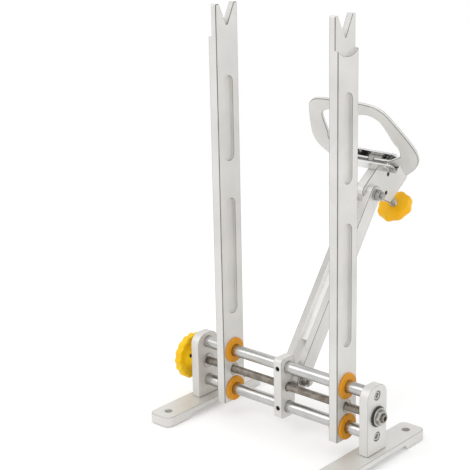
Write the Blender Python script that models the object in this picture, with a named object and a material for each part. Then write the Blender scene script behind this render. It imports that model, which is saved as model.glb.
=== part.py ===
"""Wheel truing stand, built as separate pieces at real size.

The origin is on the floor under the middle of the lead screw. +X runs along the guide
rods, +Y points to the back, where the caliper arm leans, and +Z is up. Lengths are metres.
Heights named RISE are measured from the lead screw's axis.
"""

import math

import bmesh
import bpy
from mathutils import Vector

# Fits
SEAT_GAP = 0.0003
PRESS_GAP = 0.00015
RUNNING_GAP = 0.0001
SIDE_GAP = 0.0002
EDGE_BEVEL = 0.0006
ROUND_SIDES = 24
SMALL_SIDES = 12
LOBE_SIDES = 4
ARC_STEP = math.radians(22)

# Lead screw and guide rods
SCREW_HEIGHT = 0.048
STAND_SHIFT_RIGHT = 0.004
STAND_SHIFT_FRONT = 0.065
SCREW_RADIUS = 0.004
SCREW_END_PROUD = 0.0022
SCREW_SOCKET_FLATS = 0.0042
ROD_RADIUS = 0.006
ROD_SPACING = 0.042

# End plates
END_PLATE_GAP = 0.2064
END_PLATE_THICKNESS = 0.010
END_PLATE_DEPTH = 0.030
END_PLATE_CROWN = 0.0098
END_PLATE_CORNER = 0.0115
ROD_RECESS = 0.0016

# Feet
FOOT_LENGTH = 0.145
FOOT_WIDTH = 0.028
FOOT_THICKNESS = 0.0104
FOOT_CORNER = 0.007
FOOT_PAD_LENGTH = 0.031
FOOT_RELIEF = 0.0045
FOOT_RAMP = 0.004
FOOT_INBOARD_SHIFT = 0.0022
FOOT_HOLE_INSET = 0.0145
FOOT_HOLE_RADIUS = 0.0045
FOOT_SCREW_SPACING = 0.018
FOOT_SCREW_RADIUS = 0.0025
FOOT_SCREW_GRIP = 0.009
FOOT_SCREW_HEAD_RADIUS = 0.0048
FOOT_SCREW_HEAD_HEIGHT = 0.0026

# Socket screws that hold the rods, and the set screws
ROD_SCREW_RADIUS = 0.0025
ROD_SCREW_LENGTH = 0.014
ROD_SCREW_HEAD_RADIUS = 0.00425
ROD_SCREW_HEAD_HEIGHT = 0.005
SET_SCREW_RADIUS = 0.0023
SET_SCREW_SUNK = 0.0004
SOCKET_DEPTH = 0.0022
SOCKET_SHARE = 0.56

# Screw bearings, washers and end nut
BEARING_RADIUS = 0.007
BEARING_WIDTH = 0.004
BEARING_FLANGE_RADIUS = 0.0077
BEARING_FLANGE_WIDTH = 0.0008
THRUST_WASHER_RADIUS = 0.0101
THRUST_WASHER_WIDTH = 0.0016
END_NUT_FLATS = 0.013
END_NUT_WIDTH = 0.0046
END_NUT_FLANGE_RADIUS = 0.009
END_NUT_FLANGE_WIDTH = 0.0013

# Hand knob on the lead screw
HAND_KNOB_RADIUS = 0.0245
HAND_KNOB_LOBES = 16
HAND_KNOB_LOBE_DEPTH = 0.0007
HAND_KNOB_WIDTH = 0.0085
HAND_KNOB_HUB_RADIUS = 0.0115
HAND_KNOB_HUB_WIDTH = 0.0062
HAND_KNOB_SKIN = 0.0035
HAND_KNOB_SCREW_RADIUS = 0.002
HAND_KNOB_SCREW_TURN = math.radians(22)

# Uprights
UPRIGHT_GAP = 0.1344
UPRIGHT_THICKNESS = 0.010
UPRIGHT_DEPTH = 0.030
UPRIGHT_LENGTH = 0.4055
UPRIGHT_BOTTOM = 0.014
NOTCH_DEPTH = 0.0215
NOTCH_PEAK_WIDTH = 0.0045
NOTCH_ROOT_RADIUS = 0.0012
SEAT_RELIEF_DEPTH = 0.0033
SEAT_RELIEF_RADIUS = 0.02175
SEAT_RELIEF_DROP = 0.0148
POCKET_WIDTH = 0.0125
POCKET_DEPTH = 0.003
LOWER_POCKET_START = 0.095
LOWER_POCKET_LENGTH = 0.120
POCKET_BRIDGE = 0.038
UPPER_POCKET_LENGTH = 0.0835

# Flanged bushes and lead nuts in the uprights
BUSH_WALL = 0.003
BUSH_FLANGE_RADIUS = 0.013
BUSH_FLANGE_WIDTH = 0.0022
BUSH_MIDDLE_GAP = 0.0008
LEAD_NUT_RADIUS = 0.006

# Centre plate
CENTRE_PLATE_THICKNESS = 0.010
CENTRE_PLATE_FRONT = 0.011
CENTRE_PLATE_BACK = 0.010
CENTRE_PLATE_BOTTOM = 0.016
CENTRE_PLATE_CROWN = 0.0102
CENTRE_PLATE_CORNER = 0.004
CENTRE_SCREW_CLEARANCE = 0.0008

# Swinging arm
ARM_PIVOT_BACK = 0.014
ARM_PIVOT_RISE = 0.004
ARM_LEAN = math.radians(35.7)
ARM_LENGTH = 0.2035
ARM_WIDTH = 0.025
ARM_DEPTH = 0.018
ARM_GROOVE_DEPTH = 0.005
LOWER_SLOT_REACH = 0.034
UPPER_SLOT_REACH = 0.024

# Pivot bolts of the arm
PIVOT_BOLT_RADIUS = 0.003
PIVOT_HEAD_RADIUS = 0.005
PIVOT_HEAD_HEIGHT = 0.006
PIVOT_WASHER_RADIUS = 0.006
PIVOT_WASHER_WIDTH = 0.0016
PIVOT_NUT_FLATS = 0.010
PIVOT_NUT_WIDTH = 0.005
PIVOT_BOLT_PROUD = 0.0028

# Head plate, in the head's own frame: y runs back along the plate, z towards the tips
HEAD_TILT = math.radians(71.2)
HEAD_THICKNESS = 0.010
HEAD_TOP = 0.013
HEAD_BOTTOM = 0.036
HEAD_BACK = 0.058
HEAD_CROWN_BACK = 0.039
HEAD_SHOULDER_DROP = 0.024
HEAD_CHIN_START = 0.005
HEAD_CHIN_END = 0.019
HEAD_SCREW_RADIUS = 0.002
HEAD_SCREW_DEPTH = 0.006
HEAD_SCREW_OFFSET = 0.007
HEAD_SCREW_DROPS = (0.007, 0.021)

# Caliper bracket
BRACKET_FRONT = 0.0203
BRACKET_SHEET = 0.0022
BRACKET_INNER_WIDTH = 0.013
BRACKET_LENGTH = 0.062
BRACKET_HEIGHT = 0.0112
BRACKET_BACK_CHAMFER = 0.009
BRACKET_FRONT_CHAMFER = 0.003
BRACKET_SCREW_RADIUS = 0.00125
BRACKET_SCREW_HEAD_RADIUS = 0.0024
BRACKET_SCREW_LENGTH = 0.010
BRACKET_SCREW_BACK = 0.0327

# Caliper screw, its knob, clip and pusher
STUD_BACK = 0.027
STUD_RADIUS = 0.004
STUD_LENGTH = 0.0108
CALIPER_SCREW_RADIUS = 0.003
CLIP_RADIUS = 0.0042
CLIP_WIDTH = 0.0008
PUSHER_WIDTH = 0.016
PUSHER_HEIGHT = 0.0028
PUSHER_TRAVEL = 0.0037
KNOB_RADIUS = 0.0193
KNOB_LOBES = 8
KNOB_LOBE_DEPTH = 0.0007
KNOB_WIDTH = 0.009
KNOB_SKIN = 0.003

# Caliper arms
CALIPER_PIVOT_SPREAD = 0.042
CALIPER_PIVOT_TOP = 0.0203
CALIPER_THICKNESS = 0.003
CALIPER_BOSS_RADIUS = 0.004
CALIPER_REACH = 0.0861
CALIPER_TAIL_HEIGHT = 0.004
CALIPER_TIP_GAP = 0.003
CALIPER_PIN_RADIUS = 0.0025
CALIPER_LOBE_GAP = 0.005
PIN_HEAD_RADIUS = 0.0036
PIN_HEAD_HEIGHT = 0.0012
SPRING_WIRE_RADIUS = 0.00055
SPRING_COIL_RADIUS = 0.0036
SPRING_CURLS = 3
SPRING_POINTS_PER_CURL = 9
SPRING_LEG = 0.009

# Places worked out from the sizes above
UPPER_ROD_RISE = ROD_SPACING / 2
LOWER_ROD_RISE = -ROD_SPACING / 2
END_PLATE_INNER = END_PLATE_GAP / 2
END_PLATE_OUTER = END_PLATE_INNER + END_PLATE_THICKNESS
UPRIGHT_CENTRE = (UPRIGHT_GAP + UPRIGHT_THICKNESS) / 2
FLOOR_RISE = -SCREW_HEIGHT
UPRIGHT_BOTTOM_RISE = UPRIGHT_BOTTOM - SCREW_HEIGHT
UPRIGHT_TOP_RISE = UPRIGHT_BOTTOM_RISE + UPRIGHT_LENGTH
SLOT_WIDTH = CENTRE_PLATE_THICKNESS + 2 * SIDE_GAP
WEB_BOTTOM = HEAD_TOP + SEAT_GAP
WEB_TOP = WEB_BOTTOM + BRACKET_SHEET
BRACKET_TOP = WEB_BOTTOM + BRACKET_HEIGHT
BRACKET_INNER_FRONT = BRACKET_FRONT + BRACKET_SHEET
BRACKET_INNER_BACK = BRACKET_INNER_FRONT + BRACKET_INNER_WIDTH
BRACKET_BACK = BRACKET_INNER_BACK + BRACKET_SHEET
CLIP_BOTTOM = WEB_TOP + SEAT_GAP
PUSHER_BOTTOM = CLIP_BOTTOM + CLIP_WIDTH + SEAT_GAP
PUSHER_TOP = PUSHER_BOTTOM + PUSHER_HEIGHT
CALIPER_PIVOT_X = CALIPER_PIVOT_SPREAD / 2
CALIPER_FRONT = STUD_BACK - CALIPER_THICKNESS / 2
CALIPER_BACK = STUD_BACK + CALIPER_THICKNESS / 2


# Shape helpers

def clear_scene():
    """Start from an empty scene."""
    for item in list(bpy.data.objects):
        bpy.data.objects.remove(item, do_unlink=True)


def paint(name, colour, roughness, metallic):
    """One Principled material."""
    material = bpy.data.materials.new(name)
    material.use_nodes = True
    shader = material.node_tree.nodes["Principled BSDF"]
    shader.inputs["Base Color"].default_value = (*colour, 1.0)
    shader.inputs["Roughness"].default_value = roughness
    shader.inputs["Metallic"].default_value = metallic
    material.diffuse_color = (*colour, 1.0)
    return material


def place_point(axis, along, a, b):
    """A point at a distance along one axis, with (a, b) on the other two in X, Y, Z order."""
    if axis == "x":
        return Vector((along, a, b))
    if axis == "y":
        return Vector((a, along, b))
    return Vector((a, b, along))


def smooth_rounds(mesh):
    """Smooth shading with sharp edges kept at corners."""
    mesh.shade_smooth()
    mesh.set_sharp_from_angle(angle=math.radians(32))


def object_from(name, bm):
    """A new object from a bmesh, with its faces pointing out."""
    bmesh.ops.recalc_face_normals(bm, faces=bm.faces)
    mesh = bpy.data.meshes.new(name)
    bm.to_mesh(mesh)
    bm.free()
    smooth_rounds(mesh)
    piece = bpy.data.objects.new(name, mesh)
    bpy.context.collection.objects.link(piece)
    return piece


def rounded(corners):
    """An outline whose corners (a, b, radius) become arcs."""
    points = []
    for index, (a, b, radius) in enumerate(corners):
        corner = Vector((a, b))
        if radius <= 0:
            points.append((a, b))
            continue
        back = (Vector(corners[index - 1][:2]) - corner).normalized()
        ahead = (Vector(corners[(index + 1) % len(corners)][:2]) - corner).normalized()
        half = back.angle(ahead) / 2
        middle = corner + (back + ahead).normalized() * (radius / math.sin(half))
        start = corner + back * (radius / math.tan(half)) - middle
        end = corner + ahead * (radius / math.tan(half)) - middle
        first = math.atan2(start.y, start.x)
        sweep = (math.atan2(end.y, end.x) - first + math.pi) % math.tau - math.pi
        steps = max(1, math.ceil(abs(sweep) / ARC_STEP))
        for step in range(steps + 1):
            angle = first + sweep * step / steps
            points.append((middle.x + radius * math.cos(angle), middle.y + radius * math.sin(angle)))
    return points


def arc(centre, radius, start, end, steps):
    """Points on an arc, angles in degrees."""
    angles = [math.radians(start + (end - start) * step / steps) for step in range(steps + 1)]
    return [(centre[0] + radius * math.cos(t), centre[1] + radius * math.sin(t)) for t in angles]


def through(points, steps):
    """A smooth open line through the points (Catmull-Rom)."""
    line = []
    last = len(points) - 1
    for index in range(last):
        p0 = Vector(points[max(index - 1, 0)])
        p1 = Vector(points[index])
        p2 = Vector(points[index + 1])
        p3 = Vector(points[min(index + 2, last)])
        for step in range(steps):
            t = step / steps
            point = 2 * p1 + (p2 - p0) * t
            point += (2 * p0 - 5 * p1 + 4 * p2 - p3) * t * t
            point += (3 * p1 - p0 - 3 * p2 + p3) * t * t * t
            line.append(tuple(point / 2))
    line.append(tuple(points[last]))
    return line


def prism(name, outline, low, high, axis):
    """An outline extruded along an axis between two distances."""
    bm = bmesh.new()
    near = [bm.verts.new(place_point(axis, low, a, b)) for a, b in outline]
    far = [bm.verts.new(place_point(axis, high, a, b)) for a, b in outline]
    bm.faces.new(near)
    bm.faces.new(far)
    for index in range(len(outline)):
        bm.faces.new((near[index - 1], near[index], far[index], far[index - 1]))
    return object_from(name, bm)


def ring_points(axis, along, radius, centre, sides):
    """One ring of points around an axis."""
    points = []
    for index in range(sides):
        angle = math.tau * (index + 0.5) / sides
        a = centre[0] + radius * math.cos(angle)
        b = centre[1] + radius * math.sin(angle)
        points.append(place_point(axis, along, a, b))
    return points


def skin_rings(name, rings, closed):
    """A solid skinned over rings of points: capped at both ends, or closed on itself."""
    bm = bmesh.new()
    loops = [[bm.verts.new(point) for point in ring] for ring in rings]
    pairs = list(zip(loops, loops[1:]))
    if closed:
        pairs.append((loops[-1], loops[0]))
    for first, second in pairs:
        for index in range(len(first)):
            bm.faces.new((first[index - 1], first[index], second[index], second[index - 1]))
    if not closed:
        bm.faces.new(loops[0])
        bm.faces.new(loops[-1])
    return object_from(name, bm)


def turned(name, profile, axis, centre=(0, 0), sides=ROUND_SIDES, closed=False):
    """A profile of (along, radius) turned about an axis."""
    rings = [ring_points(axis, along, radius, centre, sides) for along, radius in profile]
    return skin_rings(name, rings, closed)


def bar(name, radius, low, high, axis, centre=(0, 0), sides=ROUND_SIDES):
    """A plain round bar."""
    return turned(name, [(low, radius), (high, radius)], axis, centre, sides)


def washer(name, inner, outer, low, high, axis, centre=(0, 0), sides=ROUND_SIDES):
    """A flat ring."""
    profile = [(low, inner), (low, outer), (high, outer), (high, inner)]
    return turned(name, profile, axis, centre, sides, closed=True)


def hexagon(flats, centre=(0, 0)):
    """A hexagon outline, given its width across flats."""
    radius = flats / math.sqrt(3)
    return arc(centre, radius, 0, 300, 5)


def lobed(name, levels, lobes, depth, axis, centre=(0, 0)):
    """A star knob skinned over levels of (along, radius, share of the lobes)."""
    rings = []
    sides = lobes * LOBE_SIDES
    for along, radius, share in levels:
        ring = []
        for index in range(sides):
            angle = math.tau * index / sides
            reach = radius - share * depth * (1 - math.cos(lobes * angle))
            a = centre[0] + reach * math.cos(angle)
            b = centre[1] + reach * math.sin(angle)
            ring.append(place_point(axis, along, a, b))
        rings.append(ring)
    return skin_rings(name, rings, closed=False)


def settle(piece):
    """Turn the piece's modifiers into its mesh."""
    depsgraph = bpy.context.evaluated_depsgraph_get()
    mesh = bpy.data.meshes.new_from_object(piece.evaluated_get(depsgraph))
    piece.modifiers.clear()
    piece.data = mesh
    smooth_rounds(mesh)


def soften(piece, width=EDGE_BEVEL, segments=1):
    """Break the sharp edges."""
    bevel = piece.modifiers.new("edges", "BEVEL")
    bevel.width = width
    bevel.segments = segments
    bevel.limit_method = "ANGLE"
    bevel.angle_limit = math.radians(35)
    settle(piece)
    return piece


def combine(piece, tools, operation):
    """Cut the tools out of the piece, or join them to it, and remove them."""
    for tool in tools:
        boolean = piece.modifiers.new("shape", "BOOLEAN")
        boolean.operation = operation
        boolean.solver = "EXACT"
        boolean.object = tool
        settle(piece)
        bpy.data.objects.remove(tool, do_unlink=True)
    return piece


def carve(piece, tools):
    """Cut the tools out of the piece."""
    return combine(piece, tools, "DIFFERENCE")


def weld(piece, tools):
    """Join the tools to the piece as one body."""
    return combine(piece, tools, "UNION")


def fit(piece, parent, material):
    """Give a finished piece its parent and its material."""
    piece.parent = parent
    piece.data.materials.clear()
    piece.data.materials.append(material)
    return piece


def pivot(name, location, tilt=0.0, parent=None):
    """An empty on a joint's axis, tilted about X."""
    empty = bpy.data.objects.new(name, None)
    empty.location = location
    empty.rotation_euler = (tilt, 0, 0)
    empty.parent = parent
    bpy.context.collection.objects.link(empty)
    return empty


def span(side, first, second):
    """Two distances from the middle, as low and high X on one side."""
    ends = sorted((side * first, side * second))
    return ends[0], ends[1]


def socket_screw(name, side, seat, head_radius, head_height, radius, length, centre, axis="x"):
    """A cap screw whose head stands on seat, pointing to side, with its shank behind."""
    top = seat + side * head_height
    rim = 0.08 * head_height
    profile = [(seat - side * length, radius), (seat, radius), (seat, head_radius),
               (top - side * rim, head_radius), (top, head_radius - rim)]
    screw = turned(name, profile, axis, centre, SMALL_SIDES)
    bottom = top - side * SOCKET_DEPTH
    key = prism("key", hexagon(2 * SOCKET_SHARE * head_radius, centre),
                min(bottom, top + side * head_height), max(bottom, top + side * head_height), axis)
    return carve(screw, [key])


def set_screw(name, side, outer, inner, radius, centre, axis):
    """A headless screw with a hexagon socket in its outer end."""
    screw = bar(name, radius, min(outer, inner), max(outer, inner), axis, centre, SMALL_SIDES)
    bottom = outer - side * SOCKET_DEPTH
    beyond = outer + side * SOCKET_DEPTH
    key = prism("key", hexagon(2 * SOCKET_SHARE * radius, centre), min(bottom, beyond),
                max(bottom, beyond), axis)
    return carve(screw, [key])


def hex_nut(name, flats, bore, low, high, axis, centre=(0, 0)):
    """A hexagon nut with a plain bore."""
    nut = prism(name, hexagon(flats, centre), low, high, axis)
    beyond = high - low
    return carve(nut, [bar("bore", bore, low - beyond, high + beyond, axis, centre)])


# The frame that stands on the floor

def make_foot(name, side, parent, material):
    """A foot bar with raised middle, lashing holes and countersunk screw holes."""
    centre = side * (END_PLATE_INNER + END_PLATE_THICKNESS / 2 - FOOT_INBOARD_SHIFT)
    half = FOOT_WIDTH / 2
    end = FOOT_LENGTH / 2
    top = FLOOR_RISE + FOOT_THICKNESS
    plan = rounded([(centre - half, -end, FOOT_CORNER), (centre + half, -end, FOOT_CORNER),
                    (centre + half, end, FOOT_CORNER), (centre - half, end, FOOT_CORNER)])
    foot = soften(prism(name, plan, FLOOR_RISE, top, "z"))
    pad = end - FOOT_PAD_LENGTH
    roof = FLOOR_RISE + FOOT_RELIEF
    under = FLOOR_RISE - FOOT_RELIEF
    arch = [(-pad - FOOT_RAMP, under), (pad + FOOT_RAMP, under), (pad - FOOT_RAMP, roof),
            (-pad + FOOT_RAMP, roof)]
    tools = [prism("arch", arch, centre - FOOT_WIDTH, centre + FOOT_WIDTH, "x")]
    plate_x = side * (END_PLATE_INNER + END_PLATE_THICKNESS / 2)
    for way in (-1, 1):
        hole = way * (end - FOOT_HOLE_INSET)
        tools.append(bar("hole", FOOT_HOLE_RADIUS, under, top + FOOT_RELIEF, "z",
                         (centre, hole), SMALL_SIDES))
        tools.append(foot_screw("screw hole", plate_x, way, PRESS_GAP))
    return fit(carve(foot, tools), parent, material)


def foot_screw(name, x, way, gap):
    """A countersunk screw through the foot into the end plate, or its hole with a gap round it."""
    head = FLOOR_RISE + FOOT_RELIEF
    cone = head + FOOT_SCREW_HEAD_HEIGHT
    tip = FLOOR_RISE + FOOT_THICKNESS + FOOT_SCREW_GRIP + 2 * gap
    start = head - (FOOT_RELIEF if gap else -SEAT_GAP)
    profile = [(start, FOOT_SCREW_HEAD_RADIUS + gap), (head + SEAT_GAP, FOOT_SCREW_HEAD_RADIUS + gap),
               (cone, FOOT_SCREW_RADIUS + gap), (tip, FOOT_SCREW_RADIUS + gap)]
    if not gap:
        profile = profile[1:]
    return turned(name, profile, "z", (x, way * FOOT_SCREW_SPACING / 2), SMALL_SIDES)


def make_foot_screws(parent, material):
    """The four screws that hold the end plates on the feet."""
    for side, label in ((-1, "left"), (1, "right")):
        x = side * (END_PLATE_INNER + END_PLATE_THICKNESS / 2)
        for way, place in ((-1, "front"), (1, "back")):
            fit(foot_screw(label + "_foot_" + place + "_screw", x, way, 0.0), parent, material)


def make_end_plate(name, side, parent, material):
    """An end plate with rod seats, bearing seat, counterbores and foot screw holes."""
    half = END_PLATE_DEPTH / 2
    bottom = FLOOR_RISE + FOOT_THICKNESS + SEAT_GAP
    top = UPPER_ROD_RISE + END_PLATE_CROWN
    outline = rounded([(-half, bottom, 0), (half, bottom, 0), (half, top, END_PLATE_CORNER),
                       (-half, top, END_PLATE_CORNER)])
    low, high = span(side, END_PLATE_INNER, END_PLATE_OUTER)
    plate = soften(prism(name, outline, low, high, "x"))
    bore = 2 * END_PLATE_THICKNESS
    tools = []
    for rise in (LOWER_ROD_RISE, UPPER_ROD_RISE):
        seat = span(side, END_PLATE_INNER - bore, END_PLATE_INNER + ROD_RECESS)
        tools.append(bar("rod seat", ROD_RADIUS + PRESS_GAP, *seat, "x", (0, rise)))
        hole = span(side, END_PLATE_INNER, END_PLATE_OUTER)
        tools.append(bar("screw hole", ROD_SCREW_RADIUS + PRESS_GAP, *hole, "x", (0, rise),
                         SMALL_SIDES))
        counterbore = span(side, rod_screw_seat() - SEAT_GAP, END_PLATE_OUTER + bore)
        tools.append(bar("counterbore", ROD_SCREW_HEAD_RADIUS + SEAT_GAP, *counterbore, "x",
                         (0, rise), SMALL_SIDES))
    seat = span(side, END_PLATE_INNER - bore, END_PLATE_INNER + BEARING_WIDTH + SEAT_GAP)
    tools.append(bar("bearing seat", BEARING_RADIUS + PRESS_GAP, *seat, "x"))
    hole = span(side, END_PLATE_INNER, END_PLATE_OUTER + bore)
    tools.append(bar("journal hole", (SCREW_RADIUS + BEARING_RADIUS) / 2, *hole, "x"))
    for way in (-1, 1):
        tools.append(foot_screw("foot screw hole", side * (END_PLATE_INNER + END_PLATE_THICKNESS / 2),
                                way, PRESS_GAP))
    return fit(carve(plate, tools), parent, material)


def rod_screw_seat():
    """Distance from the middle to the shoulder that a rod screw's head stands on."""
    return END_PLATE_OUTER - ROD_SCREW_HEAD_HEIGHT - SET_SCREW_SUNK


def make_rod(name, rise, parent, material):
    """A guide rod, drilled at both ends for its screws."""
    end = END_PLATE_INNER + ROD_RECESS - SEAT_GAP
    edge = ROD_RADIUS - EDGE_BEVEL
    profile = [(-end, edge), (-end + EDGE_BEVEL, ROD_RADIUS), (end - EDGE_BEVEL, ROD_RADIUS),
               (end, edge)]
    rod = turned(name, profile, "x", (0, rise))
    depth = end - (rod_screw_seat() - ROD_SCREW_LENGTH) + 2 * SEAT_GAP
    tools = []
    for side in (-1, 1):
        hole = span(side, end - depth, end + depth)
        tools.append(bar("hole", ROD_SCREW_RADIUS + PRESS_GAP, *hole, "x", (0, rise), SMALL_SIDES))
    return fit(carve(rod, tools), parent, material)


def make_rod_screws(parent, material):
    """The four cap screws in the end plates."""
    for side, label in ((-1, "left"), (1, "right")):
        for rise, level in ((LOWER_ROD_RISE, "lower"), (UPPER_ROD_RISE, "upper")):
            name = label + "_" + level + "_rod_screw"
            screw = socket_screw(name, side, side * rod_screw_seat(), ROD_SCREW_HEAD_RADIUS,
                                 ROD_SCREW_HEAD_HEIGHT, ROD_SCREW_RADIUS, ROD_SCREW_LENGTH,
                                 (0, rise))
            fit(screw, parent, material)


def make_bearing(name, side, parent, material):
    """A flanged bearing pressed into an end plate from inside."""
    face = END_PLATE_INNER - SEAT_GAP
    profile = [(face - BEARING_FLANGE_WIDTH, SCREW_RADIUS + RUNNING_GAP),
               (face - BEARING_FLANGE_WIDTH, BEARING_FLANGE_RADIUS), (face, BEARING_FLANGE_RADIUS),
               (face, BEARING_RADIUS), (END_PLATE_INNER + BEARING_WIDTH, BEARING_RADIUS),
               (END_PLATE_INNER + BEARING_WIDTH, SCREW_RADIUS + RUNNING_GAP)]
    profile = [(side * along, radius) for along, radius in profile]
    return fit(turned(name, profile, "x", closed=True), parent, material)


def make_thrust_washer(name, side, parent, material):
    """A washer between an end plate and what turns against it."""
    start = END_PLATE_OUTER + SEAT_GAP
    ends = span(side, start, start + THRUST_WASHER_WIDTH)
    ring = washer(name, SCREW_RADIUS + PRESS_GAP, THRUST_WASHER_RADIUS, *ends, "x")
    return fit(ring, parent, material)


def make_centre_plate(parent, material):
    """The plate that stiffens the rods and carries the arm's pivot on its lug."""
    lug = ARM_DEPTH / 2
    bottom = FLOOR_RISE + CENTRE_PLATE_BOTTOM
    top = UPPER_ROD_RISE + CENTRE_PLATE_CROWN
    front = -CENTRE_PLATE_FRONT
    corner = CENTRE_PLATE_CORNER
    back = CENTRE_PLATE_BACK
    lug_back = ARM_PIVOT_BACK + lug
    outline = rounded([(front, bottom, corner), (back, bottom, corner),
                       (back, ARM_PIVOT_RISE - lug, corner / 2),
                       (lug_back, ARM_PIVOT_RISE - lug, lug * 0.999),
                       (lug_back, ARM_PIVOT_RISE + lug, lug * 0.999),
                       (back, ARM_PIVOT_RISE + lug, corner / 2), (back, top, corner),
                       (front, top, corner)])
    half = CENTRE_PLATE_THICKNESS / 2
    plate = soften(prism("centre_plate", outline, -half, half, "x"))
    beyond = CENTRE_PLATE_THICKNESS
    tools = [bar("screw hole", SCREW_RADIUS + CENTRE_SCREW_CLEARANCE, -beyond, beyond, "x"),
             bar("pivot hole", PIVOT_BOLT_RADIUS + RUNNING_GAP, -beyond, beyond, "x",
                 (ARM_PIVOT_BACK, ARM_PIVOT_RISE))]
    for rise in (LOWER_ROD_RISE, UPPER_ROD_RISE):
        tools.append(bar("rod hole", ROD_RADIUS + PRESS_GAP, -beyond, beyond, "x", (0, rise)))
        tools.append(bar("set screw hole", SET_SCREW_RADIUS + PRESS_GAP, front - beyond,
                         -ROD_RADIUS, "y", (0, rise), SMALL_SIDES))
    return fit(carve(plate, tools), parent, material)


def make_centre_set_screws(parent, material):
    """The two set screws that hold the centre plate on the rods."""
    outer = -CENTRE_PLATE_FRONT + SET_SCREW_SUNK
    inner = -ROD_RADIUS - SEAT_GAP
    for rise, level in ((LOWER_ROD_RISE, "lower"), (UPPER_ROD_RISE, "upper")):
        name = level + "_rod_set_screw"
        screw = set_screw(name, -1, outer, inner, SET_SCREW_RADIUS, (0, rise), "y")
        fit(screw, parent, material)


# The lead screw and what turns with it

def end_nut_span():
    """Inner and outer distance of the end nut from the middle."""
    inner = END_PLATE_OUTER + THRUST_WASHER_WIDTH + 2 * SEAT_GAP
    return inner, inner + END_NUT_WIDTH


def hand_knob_span():
    """Distance from the middle of the knob's hub face, shoulder and outer face."""
    hub = END_PLATE_OUTER + THRUST_WASHER_WIDTH + 2 * SEAT_GAP
    shoulder = hub + HAND_KNOB_HUB_WIDTH
    return hub, shoulder, shoulder + HAND_KNOB_WIDTH


def make_lead_screw(parent, material):
    """The screw: a right-hand and a left-hand thread on one bar."""
    right = end_nut_span()[1] + SCREW_END_PROUD
    left = -(hand_knob_span()[2] - HAND_KNOB_SKIN - SEAT_GAP)
    edge = SCREW_RADIUS - EDGE_BEVEL
    profile = [(left, edge), (left + EDGE_BEVEL, SCREW_RADIUS), (right - EDGE_BEVEL, SCREW_RADIUS),
               (right, edge)]
    screw = turned("lead_screw", profile, "x")
    key = prism("key", hexagon(SCREW_SOCKET_FLATS), right - SOCKET_DEPTH, right + SOCKET_DEPTH, "x")
    return fit(carve(screw, [key]), parent, material)


def make_hand_knob(parent, material):
    """The star knob at the left end, with a hub for its set screw."""
    hub, shoulder, outer = hand_knob_span()
    dish = HAND_KNOB_WIDTH * 0.22
    round_off = HAND_KNOB_WIDTH * 0.18
    inner_radius = HAND_KNOB_HUB_RADIUS * 1.3
    levels = [(-hub, HAND_KNOB_HUB_RADIUS * 0.95, 0), (-hub - EDGE_BEVEL, HAND_KNOB_HUB_RADIUS, 0),
              (-shoulder, HAND_KNOB_HUB_RADIUS * 1.05, 0), (-shoulder - dish, inner_radius, 0),
              (-shoulder - dish * 0.6, HAND_KNOB_RADIUS * 0.78, 0.4),
              (-shoulder, HAND_KNOB_RADIUS * 0.9, 0.8),
              (-shoulder - round_off, HAND_KNOB_RADIUS, 1), (-outer + round_off, HAND_KNOB_RADIUS, 1),
              (-outer, HAND_KNOB_RADIUS * 0.92, 0.8)]
    knob = lobed("hand_knob", levels, HAND_KNOB_LOBES, HAND_KNOB_LOBE_DEPTH, "x")
    tools = [bar("bore", SCREW_RADIUS + PRESS_GAP, -(outer - HAND_KNOB_SKIN), -END_PLATE_INNER, "x")]
    hole = bar("hole", HAND_KNOB_SCREW_RADIUS + PRESS_GAP, 0, HAND_KNOB_RADIUS, "z",
               (0, 0), SMALL_SIDES)
    tools.append(aim_at_hub(hole))
    return fit(carve(knob, tools), parent, material)


def aim_at_hub(piece):
    """Turn a piece that points up to the place of the knob's set screw."""
    hub, shoulder, _ = hand_knob_span()
    middle = -(hub + shoulder) / 2
    turn = math.pi / 2 - HAND_KNOB_SCREW_TURN
    for vertex in piece.data.vertices:
        x, _, reach = vertex.co
        across = vertex.co.y
        y = across * math.cos(turn) - reach * math.sin(turn)
        z = across * math.sin(turn) + reach * math.cos(turn)
        vertex.co = (x + middle, y, z)
    return piece


def make_hand_knob_screw(parent, material):
    """The set screw in the knob's hub."""
    screw = set_screw("hand_knob_set_screw", 1, HAND_KNOB_HUB_RADIUS - SET_SCREW_SUNK,
                      SCREW_RADIUS + SEAT_GAP, HAND_KNOB_SCREW_RADIUS, (0, 0), "z")
    return fit(aim_at_hub(screw), parent, material)


def make_end_nut(parent, material):
    """The flanged nut at the right end of the lead screw."""
    low, high = end_nut_span()
    nut = prism("screw_end_nut", hexagon(END_NUT_FLATS), low, high, "x")
    flange = bar("flange", END_NUT_FLANGE_RADIUS, low, low + END_NUT_FLANGE_WIDTH, "x")
    bore = bar("bore", SCREW_RADIUS + PRESS_GAP, low - END_NUT_WIDTH, high + END_NUT_WIDTH, "x")
    return fit(carve(weld(nut, [flange]), [bore]), parent, material)


# The uprights that slide on the rods

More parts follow.
